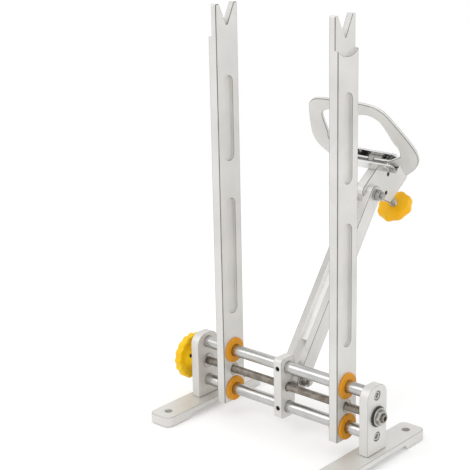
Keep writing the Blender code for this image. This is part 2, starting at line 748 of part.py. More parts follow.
def make_upright(name, side, parent, material):
    """An upright with its V notch, seat relief, pockets and bores. Local X is outwards times side."""
    half = UPRIGHT_DEPTH / 2
    bottom = UPRIGHT_BOTTOM_RISE
    top = UPRIGHT_TOP_RISE
    lip = half - NOTCH_PEAK_WIDTH
    tip = NOTCH_PEAK_WIDTH * 0.35
    outline = rounded([(-half, bottom, 0), (half, bottom, 0), (half, top, tip), (lip, top, tip),
                       (0, top - NOTCH_DEPTH, NOTCH_ROOT_RADIUS), (-lip, top, tip),
                       (-half, top, tip)])
    thick = UPRIGHT_THICKNESS / 2
    upright = soften(prism(name, outline, -thick, thick, "x"))
    relief_centre = top - SEAT_RELIEF_DROP
    above = top + NOTCH_DEPTH
    relief = arc((0, relief_centre), SEAT_RELIEF_RADIUS, 180, 360, 14)
    relief += [(SEAT_RELIEF_RADIUS, above), (-SEAT_RELIEF_RADIUS, above)]
    tools = [prism("relief", relief, *span(side, thick - SEAT_RELIEF_DEPTH, 2 * thick), "x")]
    lower = bottom + LOWER_POCKET_START
    upper = lower + LOWER_POCKET_LENGTH + POCKET_BRIDGE
    for start, length in ((lower, LOWER_POCKET_LENGTH), (upper, UPPER_POCKET_LENGTH)):
        radius = POCKET_WIDTH / 2
        pocket = arc((0, start + length - radius), radius, 0, 180, 8)
        pocket += arc((0, start + radius), radius, 180, 360, 8)
        for way in (-1, 1):
            tools.append(prism("pocket", pocket, *span(way, thick - POCKET_DEPTH, 2 * thick), "x"))
    for rise in (LOWER_ROD_RISE, UPPER_ROD_RISE):
        tools.append(bar("bush bore", ROD_RADIUS + BUSH_WALL + PRESS_GAP, -2 * thick, 2 * thick,
                         "x", (0, rise)))
    tools.append(bar("nut bore", LEAD_NUT_RADIUS + PRESS_GAP, -2 * thick, 2 * thick, "x"))
    return fit(carve(upright, tools), parent, material)


def make_bush(name, way, rise, parent, material):
    """A flanged bush in one face of an upright; way is the side its flange points to."""
    face = UPRIGHT_THICKNESS / 2 + SEAT_GAP
    bore = ROD_RADIUS + RUNNING_GAP
    outer = face + BUSH_FLANGE_WIDTH
    profile = [(BUSH_MIDDLE_GAP / 2, bore), (BUSH_MIDDLE_GAP / 2, ROD_RADIUS + BUSH_WALL),
               (face, ROD_RADIUS + BUSH_WALL), (face, BUSH_FLANGE_RADIUS),
               (outer, BUSH_FLANGE_RADIUS), (outer, bore)]
    profile = [(way * along, radius) for along, radius in profile]
    return fit(turned(name, profile, "x", (0, rise), closed=True), parent, material)


def make_lead_nut(name, parent, material):
    """The threaded insert that the lead screw drives."""
    half = UPRIGHT_THICKNESS / 2
    ring = washer(name, SCREW_RADIUS + RUNNING_GAP, LEAD_NUT_RADIUS, -half, half, "x")
    return fit(ring, parent, material)


def make_upright_set(label, side, parent, paints):
    """One upright with its four bushes and its lead nut."""
    make_upright(label + "_upright", side, parent, paints["aluminium"])
    for rise, level in ((LOWER_ROD_RISE, "lower"), (UPPER_ROD_RISE, "upper")):
        for way, face in ((-side, "inner"), (side, "outer")):
            make_bush(label + "_" + level + "_" + face + "_bush", way, rise, parent, paints["bush"])
    make_lead_nut(label + "_lead_nut", parent, paints["brass"])


# The arm, in its own frame: Z runs up the arm from the lower pivot

def make_arm(parent, material):
    """The U-section arm with a fork at each end."""
    radius = ARM_DEPTH / 2
    sides = arc((0, ARM_LENGTH), radius, 0, 180, 8) + arc((0, 0), radius, 180, 360, 8)
    half = ARM_WIDTH / 2
    arm = soften(prism("arm", sides, -half, half, "x"))
    slot = SLOT_WIDTH / 2
    groove = [(-ARM_DEPTH, -ARM_DEPTH), (radius * 2, -ARM_DEPTH), (radius * 2, LOWER_SLOT_REACH),
              (ARM_GROOVE_DEPTH - radius, LOWER_SLOT_REACH + ARM_GROOVE_DEPTH),
              (ARM_GROOVE_DEPTH - radius, ARM_LENGTH - UPPER_SLOT_REACH - ARM_GROOVE_DEPTH),
              (radius * 2, ARM_LENGTH - UPPER_SLOT_REACH), (radius * 2, ARM_LENGTH + ARM_DEPTH),
              (-ARM_DEPTH, ARM_LENGTH + ARM_DEPTH)]
    tools = [prism("groove", groove, -slot, slot, "x")]
    for height in (0, ARM_LENGTH):
        tools.append(bar("pivot hole", PIVOT_BOLT_RADIUS + PRESS_GAP, -2 * half, 2 * half, "x",
                         (0, height), SMALL_SIDES))
    return fit(carve(arm, tools), parent, material)


def make_pivot_set(label, height, parent, paints):
    """The bolt, washer and nut of one of the arm's pivots."""
    face = ARM_WIDTH / 2 + SEAT_GAP
    washer_end = face + PIVOT_WASHER_WIDTH
    nut_start = washer_end + SEAT_GAP
    nut_end = nut_start + PIVOT_NUT_WIDTH
    centre = (0, height)
    length = face + nut_end + PIVOT_BOLT_PROUD
    bolt = socket_screw(label + "_bolt", -1, -face, PIVOT_HEAD_RADIUS, PIVOT_HEAD_HEIGHT,
                        PIVOT_BOLT_RADIUS, length, centre)
    fit(bolt, parent, paints["steel"])
    ring = washer(label + "_washer", PIVOT_BOLT_RADIUS + PRESS_GAP, PIVOT_WASHER_RADIUS, face,
                  washer_end, "x", centre, SMALL_SIDES)
    fit(ring, parent, paints["steel"])
    nut = hex_nut(label + "_nut", PIVOT_NUT_FLATS, PIVOT_BOLT_RADIUS + PRESS_GAP, nut_start,
                  nut_end, "x", centre)
    fit(nut, parent, paints["steel"])


# The head, in its own frame: Y runs back, Z towards the caliper tips

def make_head_plate(parent, material):
    """The plate that swings in the arm's upper fork and carries the calipers."""
    nose = ARM_DEPTH / 2
    outline = rounded([(-nose, -nose, nose * 0.999), (HEAD_CHIN_START, -nose, nose / 4),
                       (HEAD_CHIN_END, -HEAD_BOTTOM, nose / 3),
                       (HEAD_BACK, -HEAD_BOTTOM, nose / 2),
                       (HEAD_BACK, HEAD_TOP - HEAD_SHOULDER_DROP, nose / 2),
                       (HEAD_CROWN_BACK, HEAD_TOP, nose / 4), (-nose, HEAD_TOP, nose * 0.7)])
    half = HEAD_THICKNESS / 2
    plate = soften(prism("head_plate", outline, -half, half, "x"))
    beyond = 2 * HEAD_THICKNESS
    deep = HEAD_TOP - BRACKET_SCREW_LENGTH
    tools = [bar("pivot hole", PIVOT_BOLT_RADIUS + RUNNING_GAP, -beyond, beyond, "x", (0, 0)),
             bar("screw bore", CALIPER_SCREW_RADIUS + RUNNING_GAP, -HEAD_BOTTOM - beyond,
                 HEAD_TOP + beyond, "z", (0, STUD_BACK)),
             bar("bracket screw hole", BRACKET_SCREW_RADIUS + PRESS_GAP, deep, HEAD_TOP + beyond,
                 "z", (0, BRACKET_SCREW_BACK), SMALL_SIDES)]
    for back, drop in head_screw_places():
        tools.append(bar("side screw hole", HEAD_SCREW_RADIUS + PRESS_GAP, half - HEAD_SCREW_DEPTH,
                         beyond, "x", (back, -drop), SMALL_SIDES))
    return fit(carve(plate, tools), parent, material)


def head_screw_places():
    """The two side screws, one on each side of the caliper screw's bore."""
    high, low = HEAD_SCREW_DROPS
    return (STUD_BACK + HEAD_SCREW_OFFSET, high), (STUD_BACK - HEAD_SCREW_OFFSET, low)


def make_head_screws(parent, material):
    """The set screws in the head plate's side."""
    face = HEAD_THICKNESS / 2
    for (back, drop), level in zip(head_screw_places(), ("upper", "lower")):
        name = level + "_head_set_screw"
        screw = set_screw(name, 1, face - SET_SCREW_SUNK, face - HEAD_SCREW_DEPTH + SEAT_GAP,
                          HEAD_SCREW_RADIUS, (back, -drop), "x")
        fit(screw, parent, material)


def chamfered_flange(chamfer):
    """A bracket flange seen from the front, with its two top corners cut off."""
    end = BRACKET_LENGTH / 2
    return [(-end, WEB_BOTTOM), (end, WEB_BOTTOM), (end, BRACKET_TOP - chamfer),
            (end - chamfer, BRACKET_TOP), (-end + chamfer, BRACKET_TOP),
            (-end, BRACKET_TOP - chamfer)]


def make_bracket(parent, material):
    """The bent sheet channel that holds the caliper pins."""
    end = BRACKET_LENGTH / 2
    web = [(-end, BRACKET_FRONT), (end, BRACKET_FRONT), (end, BRACKET_BACK), (-end, BRACKET_BACK)]
    bracket = prism("caliper_bracket", web, WEB_BOTTOM, WEB_TOP, "z")
    front = prism("front", chamfered_flange(BRACKET_FRONT_CHAMFER), BRACKET_FRONT,
                  BRACKET_INNER_FRONT, "y")
    back = prism("back", chamfered_flange(BRACKET_BACK_CHAMFER), BRACKET_INNER_BACK,
                 BRACKET_BACK, "y")
    weld(bracket, [front, back])
    beyond = BRACKET_INNER_WIDTH
    tools = [bar("screw hole", CALIPER_SCREW_RADIUS + SEAT_GAP, WEB_BOTTOM - beyond,
                 WEB_TOP + beyond, "z", (0, STUD_BACK), SMALL_SIDES),
             bracket_screw("bracket screw hole", PRESS_GAP)]
    for side in (-1, 1):
        tools.append(bar("pin hole", CALIPER_PIN_RADIUS + PRESS_GAP, BRACKET_FRONT - beyond,
                         BRACKET_BACK + beyond, "y", (side * CALIPER_PIVOT_X, CALIPER_PIVOT_TOP),
                         SMALL_SIDES))
    return fit(carve(bracket, tools), parent, material)


def bracket_screw(name, gap):
    """The countersunk screw that holds the bracket, or its hole with a gap round it."""
    head = WEB_TOP - SEAT_GAP
    neck = WEB_BOTTOM + SEAT_GAP
    tip = WEB_BOTTOM - BRACKET_SCREW_LENGTH + 2 * SEAT_GAP
    profile = [(tip, BRACKET_SCREW_RADIUS + gap), (neck, BRACKET_SCREW_RADIUS + gap),
               (head, BRACKET_SCREW_HEAD_RADIUS + gap)]
    if gap:
        profile[0] = (WEB_BOTTOM - SEAT_GAP, BRACKET_SCREW_RADIUS + gap)
        profile.append((WEB_TOP + BRACKET_SHEET, BRACKET_SCREW_HEAD_RADIUS + gap))
    return turned(name, profile, "z", (0, BRACKET_SCREW_BACK), SMALL_SIDES)


def make_caliper_screw(parent, material):
    """The captive screw: a thick stud below the head plate and a thinner thread above."""
    shoulder = -HEAD_BOTTOM - SEAT_GAP
    bottom = shoulder - STUD_LENGTH - KNOB_WIDTH + KNOB_SKIN + SEAT_GAP
    top = PUSHER_TOP + PUSHER_TRAVEL + 2 * SEAT_GAP
    profile = [(bottom, STUD_RADIUS), (shoulder, STUD_RADIUS), (shoulder, CALIPER_SCREW_RADIUS),
               (top, CALIPER_SCREW_RADIUS)]
    screw = turned("caliper_screw", profile, "z", (0, STUD_BACK), SMALL_SIDES)
    return fit(screw, parent, material)


def make_caliper_clip(parent, material):
    """The ring that keeps the caliper screw from dropping out."""
    ring = washer("caliper_screw_clip", CALIPER_SCREW_RADIUS + PRESS_GAP, CLIP_RADIUS, CLIP_BOTTOM,
                  CLIP_BOTTOM + CLIP_WIDTH, "z", (0, STUD_BACK), SMALL_SIDES)
    return fit(ring, parent, material)


def make_caliper_knob(parent, material):
    """The small lobed knob under the head."""
    top = -HEAD_BOTTOM - SEAT_GAP - STUD_LENGTH
    bottom = top - KNOB_WIDTH
    edge = KNOB_WIDTH * 0.16
    levels = [(top, KNOB_RADIUS * 0.93, 0.9), (top - edge, KNOB_RADIUS, 1),
              (bottom + edge, KNOB_RADIUS, 1), (bottom, KNOB_RADIUS * 0.93, 0.9)]
    knob = lobed("caliper_knob", levels, KNOB_LOBES, KNOB_LOBE_DEPTH, "z", (0, STUD_BACK))
    bore = bar("bore", STUD_RADIUS + PRESS_GAP, bottom + KNOB_SKIN, top + KNOB_WIDTH, "z",
               (0, STUD_BACK), SMALL_SIDES)
    return fit(carve(knob, [bore]), parent, material)


def make_pusher(parent, material):
    """The threaded bar that rises on the caliper screw and lifts both caliper tails."""
    half = PUSHER_WIDTH / 2
    front = BRACKET_INNER_FRONT + SEAT_GAP
    back = BRACKET_INNER_BACK - SEAT_GAP
    plan = [(-half, front), (half, front), (half, back), (-half, back)]
    pusher = prism("caliper_pusher", plan, PUSHER_BOTTOM, PUSHER_TOP, "z")
    bore = bar("bore", CALIPER_SCREW_RADIUS + RUNNING_GAP, PUSHER_BOTTOM - PUSHER_HEIGHT,
               PUSHER_TOP + PUSHER_HEIGHT, "z", (0, STUD_BACK))
    return fit(carve(pusher, [bore]), parent, material)


def caliper_outline():
    """The right caliper arm seen from the front, measured from its pin, its bends in shares of its reach."""
    reach = CALIPER_REACH
    centre_line = -CALIPER_PIVOT_X
    tip = centre_line + CALIPER_TIP_GAP / 2
    tail_end = centre_line + CALIPER_SCREW_RADIUS + 4 * SEAT_GAP
    tail_bottom = PUSHER_TOP + SEAT_GAP - CALIPER_PIVOT_TOP
    tail_top = tail_bottom + CALIPER_TAIL_HEIGHT
    lobe = BRACKET_LENGTH / 2 + CALIPER_LOBE_GAP + centre_line
    back = [(-0.1394, 0.9872), (-0.0348, 1.0000), (0.1045, 0.9895), (0.1882, 0.9710),
         (0.2520, 0.9292), (0.3136, 0.8548), (0.4007, 0.6446), (0.4715, 0.4425),
         (0.5017, 0.3113), (0.4936, 0.1847), (0.4413, 0.0755), (0.3298, -0.0488)]
    front = [(0.2404, 0.1731), (0.2683, 0.3055), (0.2323, 0.4216), (0.2091, 0.5947),
         (0.1731, 0.7364), (0.1150, 0.7933), (0.0360, 0.8258), (-0.0616, 0.8165),
         (-0.1069, 0.8072)]
    nose = [(tip, 0.8885 * reach), (tip + 0.0174 * reach, 0.9431 * reach)]
    heel = [(lobe + 0.0174 * reach, -0.1568 * reach)]
    outer = through(nose + [(x * reach, z * reach) for x, z in back] + heel, 3)
    chin = [(tip + 0.0465 * reach, 0.8269 * reach), (tip, 0.8537 * reach)]
    inner = through([(x * reach, z * reach) for x, z in front] + chin, 3)
    boss = arc((0, 0), CALIPER_BOSS_RADIUS, 285, 205, 4)
    tail = [(tail_end + 0.0720 * reach, tail_bottom), (tail_end, tail_bottom), (tail_end, tail_top)]
    neck = [(lobe, -0.0616 * reach), (lobe, 0.0035 * reach)]
    crown = [(-0.0232 * reach, CALIPER_BOSS_RADIUS), (0.0348 * reach, 1.15 * CALIPER_BOSS_RADIUS)]
    return outer + neck + boss + tail + crown + inner


def make_caliper(name, side, parent, material):
    """One caliper arm about its own pin; the left one is the right one mirrored."""
    outline = [(side * x, z) for x, z in caliper_outline()]
    arm = prism(name, outline, CALIPER_FRONT, CALIPER_BACK, "y")
    bore = bar("bore", CALIPER_PIN_RADIUS + RUNNING_GAP, CALIPER_FRONT - CALIPER_THICKNESS,
               CALIPER_BACK + CALIPER_THICKNESS, "y")
    return fit(carve(arm, [bore]), parent, material)


def make_caliper_pins(parent, material):
    """The two pins riveted through the bracket's flanges."""
    for side, label in ((-1, "left"), (1, "right")):
        front = BRACKET_FRONT - SEAT_GAP
        back = BRACKET_BACK + SEAT_GAP
        rim = PIN_HEAD_RADIUS - PIN_HEAD_HEIGHT / 2
        profile = [(front - PIN_HEAD_HEIGHT, rim), (front - PIN_HEAD_HEIGHT / 2, PIN_HEAD_RADIUS),
                   (front, PIN_HEAD_RADIUS), (front, CALIPER_PIN_RADIUS), (back, CALIPER_PIN_RADIUS),
                   (back, PIN_HEAD_RADIUS), (back + PIN_HEAD_HEIGHT / 2, PIN_HEAD_RADIUS),
                   (back + PIN_HEAD_HEIGHT, rim)]
        pin = turned(label + "_caliper_pin", profile, "y",
                     (side * CALIPER_PIVOT_X, CALIPER_PIVOT_TOP), SMALL_SIDES)
        fit(pin, parent, material)


def spring_path(side):
    """The closing spring's wire: a leg on the web, the curls round the pin, a leg along the arm."""
    first = CALIPER_BACK + SEAT_GAP + SPRING_WIRE_RADIUS + RUNNING_GAP
    last = BRACKET_INNER_BACK - SEAT_GAP - SPRING_WIRE_RADIUS
    total = SPRING_CURLS * SPRING_POINTS_PER_CURL
    bottom = CALIPER_PIVOT_TOP - SPRING_COIL_RADIUS
    pin_x = side * CALIPER_PIVOT_X
    points = [(pin_x - side * SPRING_LEG, last, bottom), (pin_x - side * SPRING_LEG / 2, last, bottom)]
    for index in range(total + 1):
        turn = math.tau * index / SPRING_POINTS_PER_CURL
        across = pin_x + side * SPRING_COIL_RADIUS * math.sin(turn)
        height = CALIPER_PIVOT_TOP - SPRING_COIL_RADIUS * math.cos(turn)
        points.append((across, last + (first - last) * index / total, height))
    for share in (0.5, 1.0):
        points.append((pin_x + side * SPRING_LEG * share, first, bottom + 0.2 * SPRING_LEG * share))
    return points


def make_spring(name, side, parent, material):
    """A torsion spring as one tube, with its least gap to itself printed."""
    points = spring_path(side)
    curve = bpy.data.curves.new(name, "CURVE")
    curve.dimensions = "3D"
    curve.bevel_depth = SPRING_WIRE_RADIUS
    curve.bevel_resolution = 1
    curve.use_fill_caps = True
    spline = curve.splines.new("POLY")
    spline.points.add(len(points) - 1)
    for target, point in zip(spline.points, points):
        target.co = (*point, 1)
    spring = bpy.data.objects.new(name, curve)
    bpy.context.collection.objects.link(spring)
    print(name, "least gap to itself in mm:", round(spring_gap(points) * 1000, 2))
    return fit(spring, parent, material)


def spring_gap(points):
    """The least distance between wire surfaces of different curls."""
    apart = SPRING_POINTS_PER_CURL // 2
    finer = []
    for first, second in zip(points, points[1:]):
        for step in range(4):
            finer.append(Vector(first).lerp(Vector(second), step / 4))
    least = min((a - b).length for index, a in enumerate(finer) for b in finer[index + 4 * apart:])
    return least - 2 * SPRING_WIRE_RADIUS


# Assembly

def make_paints():
    """The colours and finishes of the stand."""
    return {
        "aluminium": paint("brushed_aluminium", (0.80, 0.79, 0.76), 0.38, 0.85),
        "rod_steel": paint("ground_steel", (0.66, 0.67, 0.68), 0.22, 1.0),
        "screw_steel": paint("screw_steel", (0.42, 0.38, 0.34), 0.35, 1.0),
        "dark_steel": paint("dark_steel", (0.10, 0.10, 0.10), 0.4, 1.0),
        "steel": paint("zinc_steel", (0.62, 0.61, 0.58), 0.35, 1.0),
        "polished": paint("polished_steel", (0.75, 0.75, 0.75), 0.12, 1.0),
        "brass": paint("nut_bronze", (0.60, 0.45, 0.22), 0.35, 1.0),
        "bush": paint("bush_plastic", (0.80, 0.38, 0.03), 0.45, 0.0),
        "knob": paint("knob_yellow", (0.95, 0.55, 0.02), 0.35, 0.0),
        "washer": paint("black_plastic", (0.03, 0.03, 0.03), 0.5, 0.0),
        "spring": paint("spring_wire", (0.05, 0.05, 0.05), 0.4, 1.0),
    }


def make_frame(stand, paints):
    """Everything that stands still."""
    for side, label in ((-1, "left"), (1, "right")):
        make_foot(label + "_foot", side, stand, paints["aluminium"])
        make_end_plate(label + "_end_plate", side, stand, paints["aluminium"])
        make_bearing(label + "_screw_bearing", side, stand, paints["steel"])
        make_thrust_washer(label + "_thrust_washer", side, stand, paints["washer"])
    make_foot_screws(stand, paints["dark_steel"])
    make_rod("lower_guide_rod", LOWER_ROD_RISE, stand, paints["rod_steel"])
    make_rod("upper_guide_rod", UPPER_ROD_RISE, stand, paints["rod_steel"])
    make_rod_screws(stand, paints["dark_steel"])
    make_centre_plate(stand, paints["aluminium"])
    make_centre_set_screws(stand, paints["dark_steel"])


def make_screw_set(axis, paints):
    """The lead screw and what turns with it."""
    make_lead_screw(axis, paints["screw_steel"])
    make_hand_knob(axis, paints["knob"])
    make_hand_knob_screw(axis, paints["dark_steel"])
    make_end_nut(axis, paints["steel"])


def make_head(head, paints):
    """The head with its bracket, screw, pusher, springs and calipers."""
    make_head_plate(head, paints["aluminium"])
    make_head_screws(head, paints["dark_steel"])
    make_bracket(head, paints["polished"])
    fit(bracket_screw("bracket_screw", 0.0), head, paints["steel"])
    make_caliper_pins(head, paints["steel"])
    make_caliper_screw(head, paints["screw_steel"])
    make_caliper_clip(head, paints["steel"])
    make_caliper_knob(head, paints["knob"])
    make_pusher(head, paints["steel"])
    for side, label in ((-1, "left"), (1, "right")):
        place = (side * CALIPER_PIVOT_X, 0, CALIPER_PIVOT_TOP)
        swing = pivot(label + "_caliper_axis", place, 0.0, head)
        make_caliper(label + "_caliper", side, swing, paints["aluminium"])
        make_spring(label + "_caliper_spring", side, head, paints["spring"])


def build():
    """The whole stand."""
    clear_scene()
    paints = make_paints()
    stand = pivot("stand", (STAND_SHIFT_RIGHT, -STAND_SHIFT_FRONT, SCREW_HEIGHT))
    screw_axis = pivot("lead_screw_axis", (0, 0, 0), 0.0, stand)
    make_frame(stand, paints)
    make_screw_set(screw_axis, paints)
    for side, label in ((-1, "left"), (1, "right")):
        slide = pivot(label + "_upright_slide", (side * UPRIGHT_CENTRE, 0, 0), 0.0, stand)
        make_upright_set(label, side, slide, paints)
    arm_axis = pivot("arm_axis", (0, ARM_PIVOT_BACK, ARM_PIVOT_RISE), -ARM_LEAN, stand)
    make_arm(arm_axis, paints["aluminium"])
    make_pivot_set("arm_pivot", 0.0, arm_axis, paints)
    make_pivot_set("head_pivot", ARM_LENGTH, arm_axis, paints)
    head_axis = pivot("head_axis", (0, 0, ARM_LENGTH), HEAD_TILT, arm_axis)
    make_head(head_axis, paints)


build()
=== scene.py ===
"""Looks of the wheel truing stand: finer forms on the CAD frame, materials, light and camera.

Pieces are drawn in millimetres in their own frame and then put in place in metres.
"""

from math import atan2, ceil, cos, pi, radians, sin, sqrt, tan, tau

import bmesh
import bpy
from mathutils import Matrix, Vector


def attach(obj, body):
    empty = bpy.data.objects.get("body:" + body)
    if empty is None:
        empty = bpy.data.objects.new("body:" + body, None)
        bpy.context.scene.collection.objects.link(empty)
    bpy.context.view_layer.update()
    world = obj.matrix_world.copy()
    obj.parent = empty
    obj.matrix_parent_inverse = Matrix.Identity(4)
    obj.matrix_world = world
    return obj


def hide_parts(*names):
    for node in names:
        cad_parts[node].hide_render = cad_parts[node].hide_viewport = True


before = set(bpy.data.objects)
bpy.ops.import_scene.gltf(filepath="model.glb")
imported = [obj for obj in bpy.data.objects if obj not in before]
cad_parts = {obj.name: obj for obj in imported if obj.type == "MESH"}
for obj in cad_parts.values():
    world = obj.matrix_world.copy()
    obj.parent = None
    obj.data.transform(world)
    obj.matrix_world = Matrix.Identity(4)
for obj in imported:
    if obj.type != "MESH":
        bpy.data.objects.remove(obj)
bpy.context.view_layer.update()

# Sizes in millimetres that several pieces share
SIDES = ((-1, "left"), (1, "right"))
GAP = 0.3
PRESS = 0.15
RUN = 0.1
M5_R = 2.5
M6_R = 3.0
M6_THREAD = {"pitch": 1.0, "starts": 1, "depth": 0.5}
SCREW_R = 4.0
SCREW_Z = 48.0
SCREW_LINE = (0, SCREW_Z)
ROD_R = 6.0
ROD_LEVELS = ((27.0, "lower"), (69.0, "upper"))
ROD_SOCKET = 1.6
BUSH_R = 9.0
LEAD_NUT_R = 6.0
BEARING_R = 7.0
PLATE_IN = 103.2
PLATE_OUT = 113.2
PLATE_SEAT = 107.5
WASHER_OUT = 115.1
HUB_X = WASHER_OUT + GAP
HUB_SCREW_R = 2.0
UPRIGHT_X = 72.2
UPRIGHT_HALF = 5.0
CENTRE_FACES = (-5.0, 5.0)
CENTRE_FRONT = -11.0
ROD_GRUB_R = 2.3
ARM_PIVOT = (14.0, 52.0)
ARM_LEAN = 35.7
ARM_LENGTH = 203.5
ARM_HALF = 12.5
ARM_EYE = 9.0
GROOVE_HALF = 5.2
GROOVE_FLOOR = -4.0
HEAD_TILT = 71.2
HEAD_HALF = 5.0
HEAD_GRUB_R = 2.0
HEAD_GRUBS = (((34, -7), "upper"), ((20, -21), "lower"))
STUD_Y = 27.0
STUD_LINE = (0, STUD_Y)
STUD_SHOULDER = -36.3
STUD_END = STUD_SHOULDER - 10.8
BRACKET_SCREW = (0, 32.7)
BRACKET_CONE = (13.6, 15.2)
BRACKET_IN = (22.5, 35.5)
BRACKET_OUT = (20.3, 37.7)
PIN_X = 21.0
PIN_Z = 20.3
PIN_R = 2.5
CALIPER_FACES = (25.5, 28.5)
SPRING_WIRE = 0.55

# Places of the pieces, in metres
SHIFT = Vector((0.004, -0.065, 0))
WORLD = Matrix.Translation(SHIFT) @ Matrix.Scale(0.001, 4)
ARM = WORLD @ Matrix.Translation((0, *ARM_PIVOT)) @ Matrix.Rotation(radians(-ARM_LEAN), 4, "X")
HEAD = ARM @ Matrix.Translation((0, 0, ARM_LENGTH)) @ Matrix.Rotation(radians(HEAD_TILT), 4, "X")
HUB_SCREW_TURN = 68.0
HUB_SCREW = (Matrix.Translation((-HUB_X - 3.1, 0, SCREW_Z))
             @ Matrix.Rotation(radians(HUB_SCREW_TURN), 4, "X"))

# Material slots of a piece after its first: painted shade on edges, painted shade on faces and painted
# light in a groove
# dark paint on chamfered edges, as painted shade
EDGE_SHADE_SLOT = 1
# a darker aluminium on faces turned to the lamps, as painted shade
SHADED_FACE_SLOT = 2
# a pale paint in the arm's groove, as painted light
GROOVE_LIGHT_SLOT = 3


# Outlines

def rounded(corners, step=6.0):
    """An outline whose corners (a, b, radius) become arcs."""
    points = []
    for index, (a, b, radius) in enumerate(corners):
        corner = Vector((a, b))
        if radius <= 0:
            points.append((a, b))
            continue
        back = (Vector(corners[index - 1][:2]) - corner).normalized()
        ahead = (Vector(corners[(index + 1) % len(corners)][:2]) - corner).normalized()
        half = back.angle(ahead) / 2
        middle = corner + (back + ahead).normalized() * (radius / sin(half))
        start = corner + back * (radius / tan(half)) - middle
        end = corner + ahead * (radius / tan(half)) - middle
        first = atan2(start.y, start.x)
        sweep = (atan2(end.y, end.x) - first + pi) % tau - pi
        steps = max(2, ceil(abs(sweep) / radians(step)))
        for i in range(steps + 1):
            t = first + sweep * i / steps
            points.append((middle.x + radius * cos(t), middle.y + radius * sin(t)))
    return points


def box(low_a, high_a, low_b, high_b, radius, top_radius=None, step=6.0):
    """A rectangle with rounded corners; the two at the top can have their own radius."""
    top = radius if top_radius is None else top_radius
    return rounded([(low_a, low_b, radius), (high_a, low_b, radius), (high_a, high_b, top),
                    (low_a, high_b, top)], step)


def arc(centre, radius, start, end, steps):
    """Points on an arc, angles in degrees."""
    angles = [radians(start + (end - start) * i / steps) for i in range(steps + 1)]
    return [(centre[0] + radius * cos(t), centre[1] + radius * sin(t)) for t in angles]


def through(points, steps):
    """A smooth open line through the points."""
    line = []
    last = len(points) - 1
    for index in range(last):
        p0, p1 = Vector(points[max(index - 1, 0)]), Vector(points[index])
        p2, p3 = Vector(points[index + 1]), Vector(points[min(index + 2, last)])
        for i in range(steps):
            t = i / steps
            point = 2 * p1 + (p2 - p0) * t
            point += (2 * p0 - 5 * p1 + 4 * p2 - p3) * t * t
            point += (3 * p1 - p0 - 3 * p2 + p3) * t * t * t
            line.append(tuple(point / 2))
    line.append(tuple(points[last]))
    return line


def circle(radius, centre, sides=48):
    """A closed circle."""
    return arc(centre, radius, 180 / sides, 360 - 180 / sides, sides - 1)


def stadium(radius, low, high, sides):
    """A slot with round ends about two heights, with so many sides on each end."""
    return arc((0, high), radius, 0, 180, sides) + arc((0, low), radius, 180, 360, sides)


def inset(outline, amount):
    """The outline moved inwards, or outwards by a negative amount."""
    sharpest = 0.5
    count = len(outline)
    area = sum(outline[i - 1][0] * outline[i][1] - outline[i][0] * outline[i - 1][1]
               for i in range(count))
    moved = []
    for i in range(count):
        point = Vector(outline[i])
        back = (point - Vector(outline[i - 1])).normalized()
        ahead = (Vector(outline[(i + 1) % count]) - point).normalized()
        inward = Vector((-back.y - ahead.y, back.x + ahead.x)) * (1 if area > 0 else -1)
        moved.append(tuple(point + inward * (2 * amount / max(inward.length_squared, sharpest))))
    return moved


def hexagon(flats, centre):
    """A hexagon, given its width across flats."""
    return arc(centre, flats / sqrt(3), 0, 300, 5)


def span(side, first, second):
    """Two distances from the middle, to one side, as a low and a high value."""
    return sorted((side * first, side * second))


def at(axis, along, a, b):
    """A point at a distance along one axis, with (a, b) on the other two."""
    return Vector({"x": (along, a, b), "y": (a, along, b), "z": (a, b, along)}[axis])


def round_at(axis, along, centre, radius, angle):
    """A point at a distance along an axis and at a radius and angle round it."""
    return at(axis, along, centre[0] + radius * cos(angle), centre[1] + radius * sin(angle))


# Solids

def new_object(name, data):
    """A new object in the scene."""
    thing = bpy.data.objects.new(name, data)
    bpy.context.scene.collection.objects.link(thing)
    return thing


def mesh_object(bm, name="form"):
    """A new object from a bmesh, with its faces pointing out."""
    bmesh.ops.recalc_face_normals(bm, faces=bm.faces)
    mesh = bpy.data.meshes.new(name)
    bm.to_mesh(mesh)
    bm.free()
    return new_object(name, mesh)


def paint_edge_shade(piece, faces):
    """Give some faces of a piece the slot of its painted edge shade."""
    piece.data.materials.append(None)
    piece.data.materials.append(None)
    for index in faces:
        piece.data.polygons[index].material_index = EDGE_SHADE_SLOT


def prism(outline, low, high, axis, shaded_edges=False):
    """An outline extruded along an axis; as a tool it leaves faces in the slot of painted edge shade, if
    asked to.
    """
    bm = bmesh.new()
    near = [bm.verts.new(at(axis, low, a, b)) for a, b in outline]
    far = [bm.verts.new(at(axis, high, a, b)) for a, b in outline]
    bm.faces.new(near)
    bm.faces.new(far)
    for i in range(len(outline)):
        bm.faces.new((near[i - 1], near[i], far[i], far[i - 1]))
    piece = mesh_object(bm)
    if shaded_edges:
        paint_edge_shade(piece, range(len(piece.data.polygons)))
    return piece


def skin(rings, closed=False):
    """A solid skinned over rings of points."""
    bm = bmesh.new()
    loops = [[bm.verts.new(point) for point in ring] for ring in rings]
    pairs = list(zip(loops, loops[1:]))
    if closed:
        pairs.append((loops[-1], loops[0]))
    for first, second in pairs:
        for i in range(len(first)):
            bm.faces.new((first[i - 1], first[i], second[i], second[i - 1]))
    if not closed:
        bm.faces.new(loops[0])
        bm.faces.new(loops[-1])
    return mesh_object(bm)


def turned(profile, axis, centre, sides=64, closed=False):
    """A profile of (along, radius) turned about an axis."""
    angles = [tau * (i + 0.5) / sides for i in range(sides)]
    rings = [[round_at(axis, along, centre, radius, t) for t in angles] for along, radius in profile]
    return skin(rings, closed)


def bar(radius, low, high, axis, centre=(0, 0)):
    """A plain round bar."""
    return turned([(low, radius), (high, radius)], axis, centre, 48)


def ring(inner, outer, low, high, axis, centre, edge=0.25):
    """A flat ring with its outer edges eased."""
    profile = [(low, inner), (low, outer - edge), (low + edge, outer), (high - edge, outer),
               (high, outer - edge), (high, inner)]
    return turned(profile, axis, centre, closed=True)


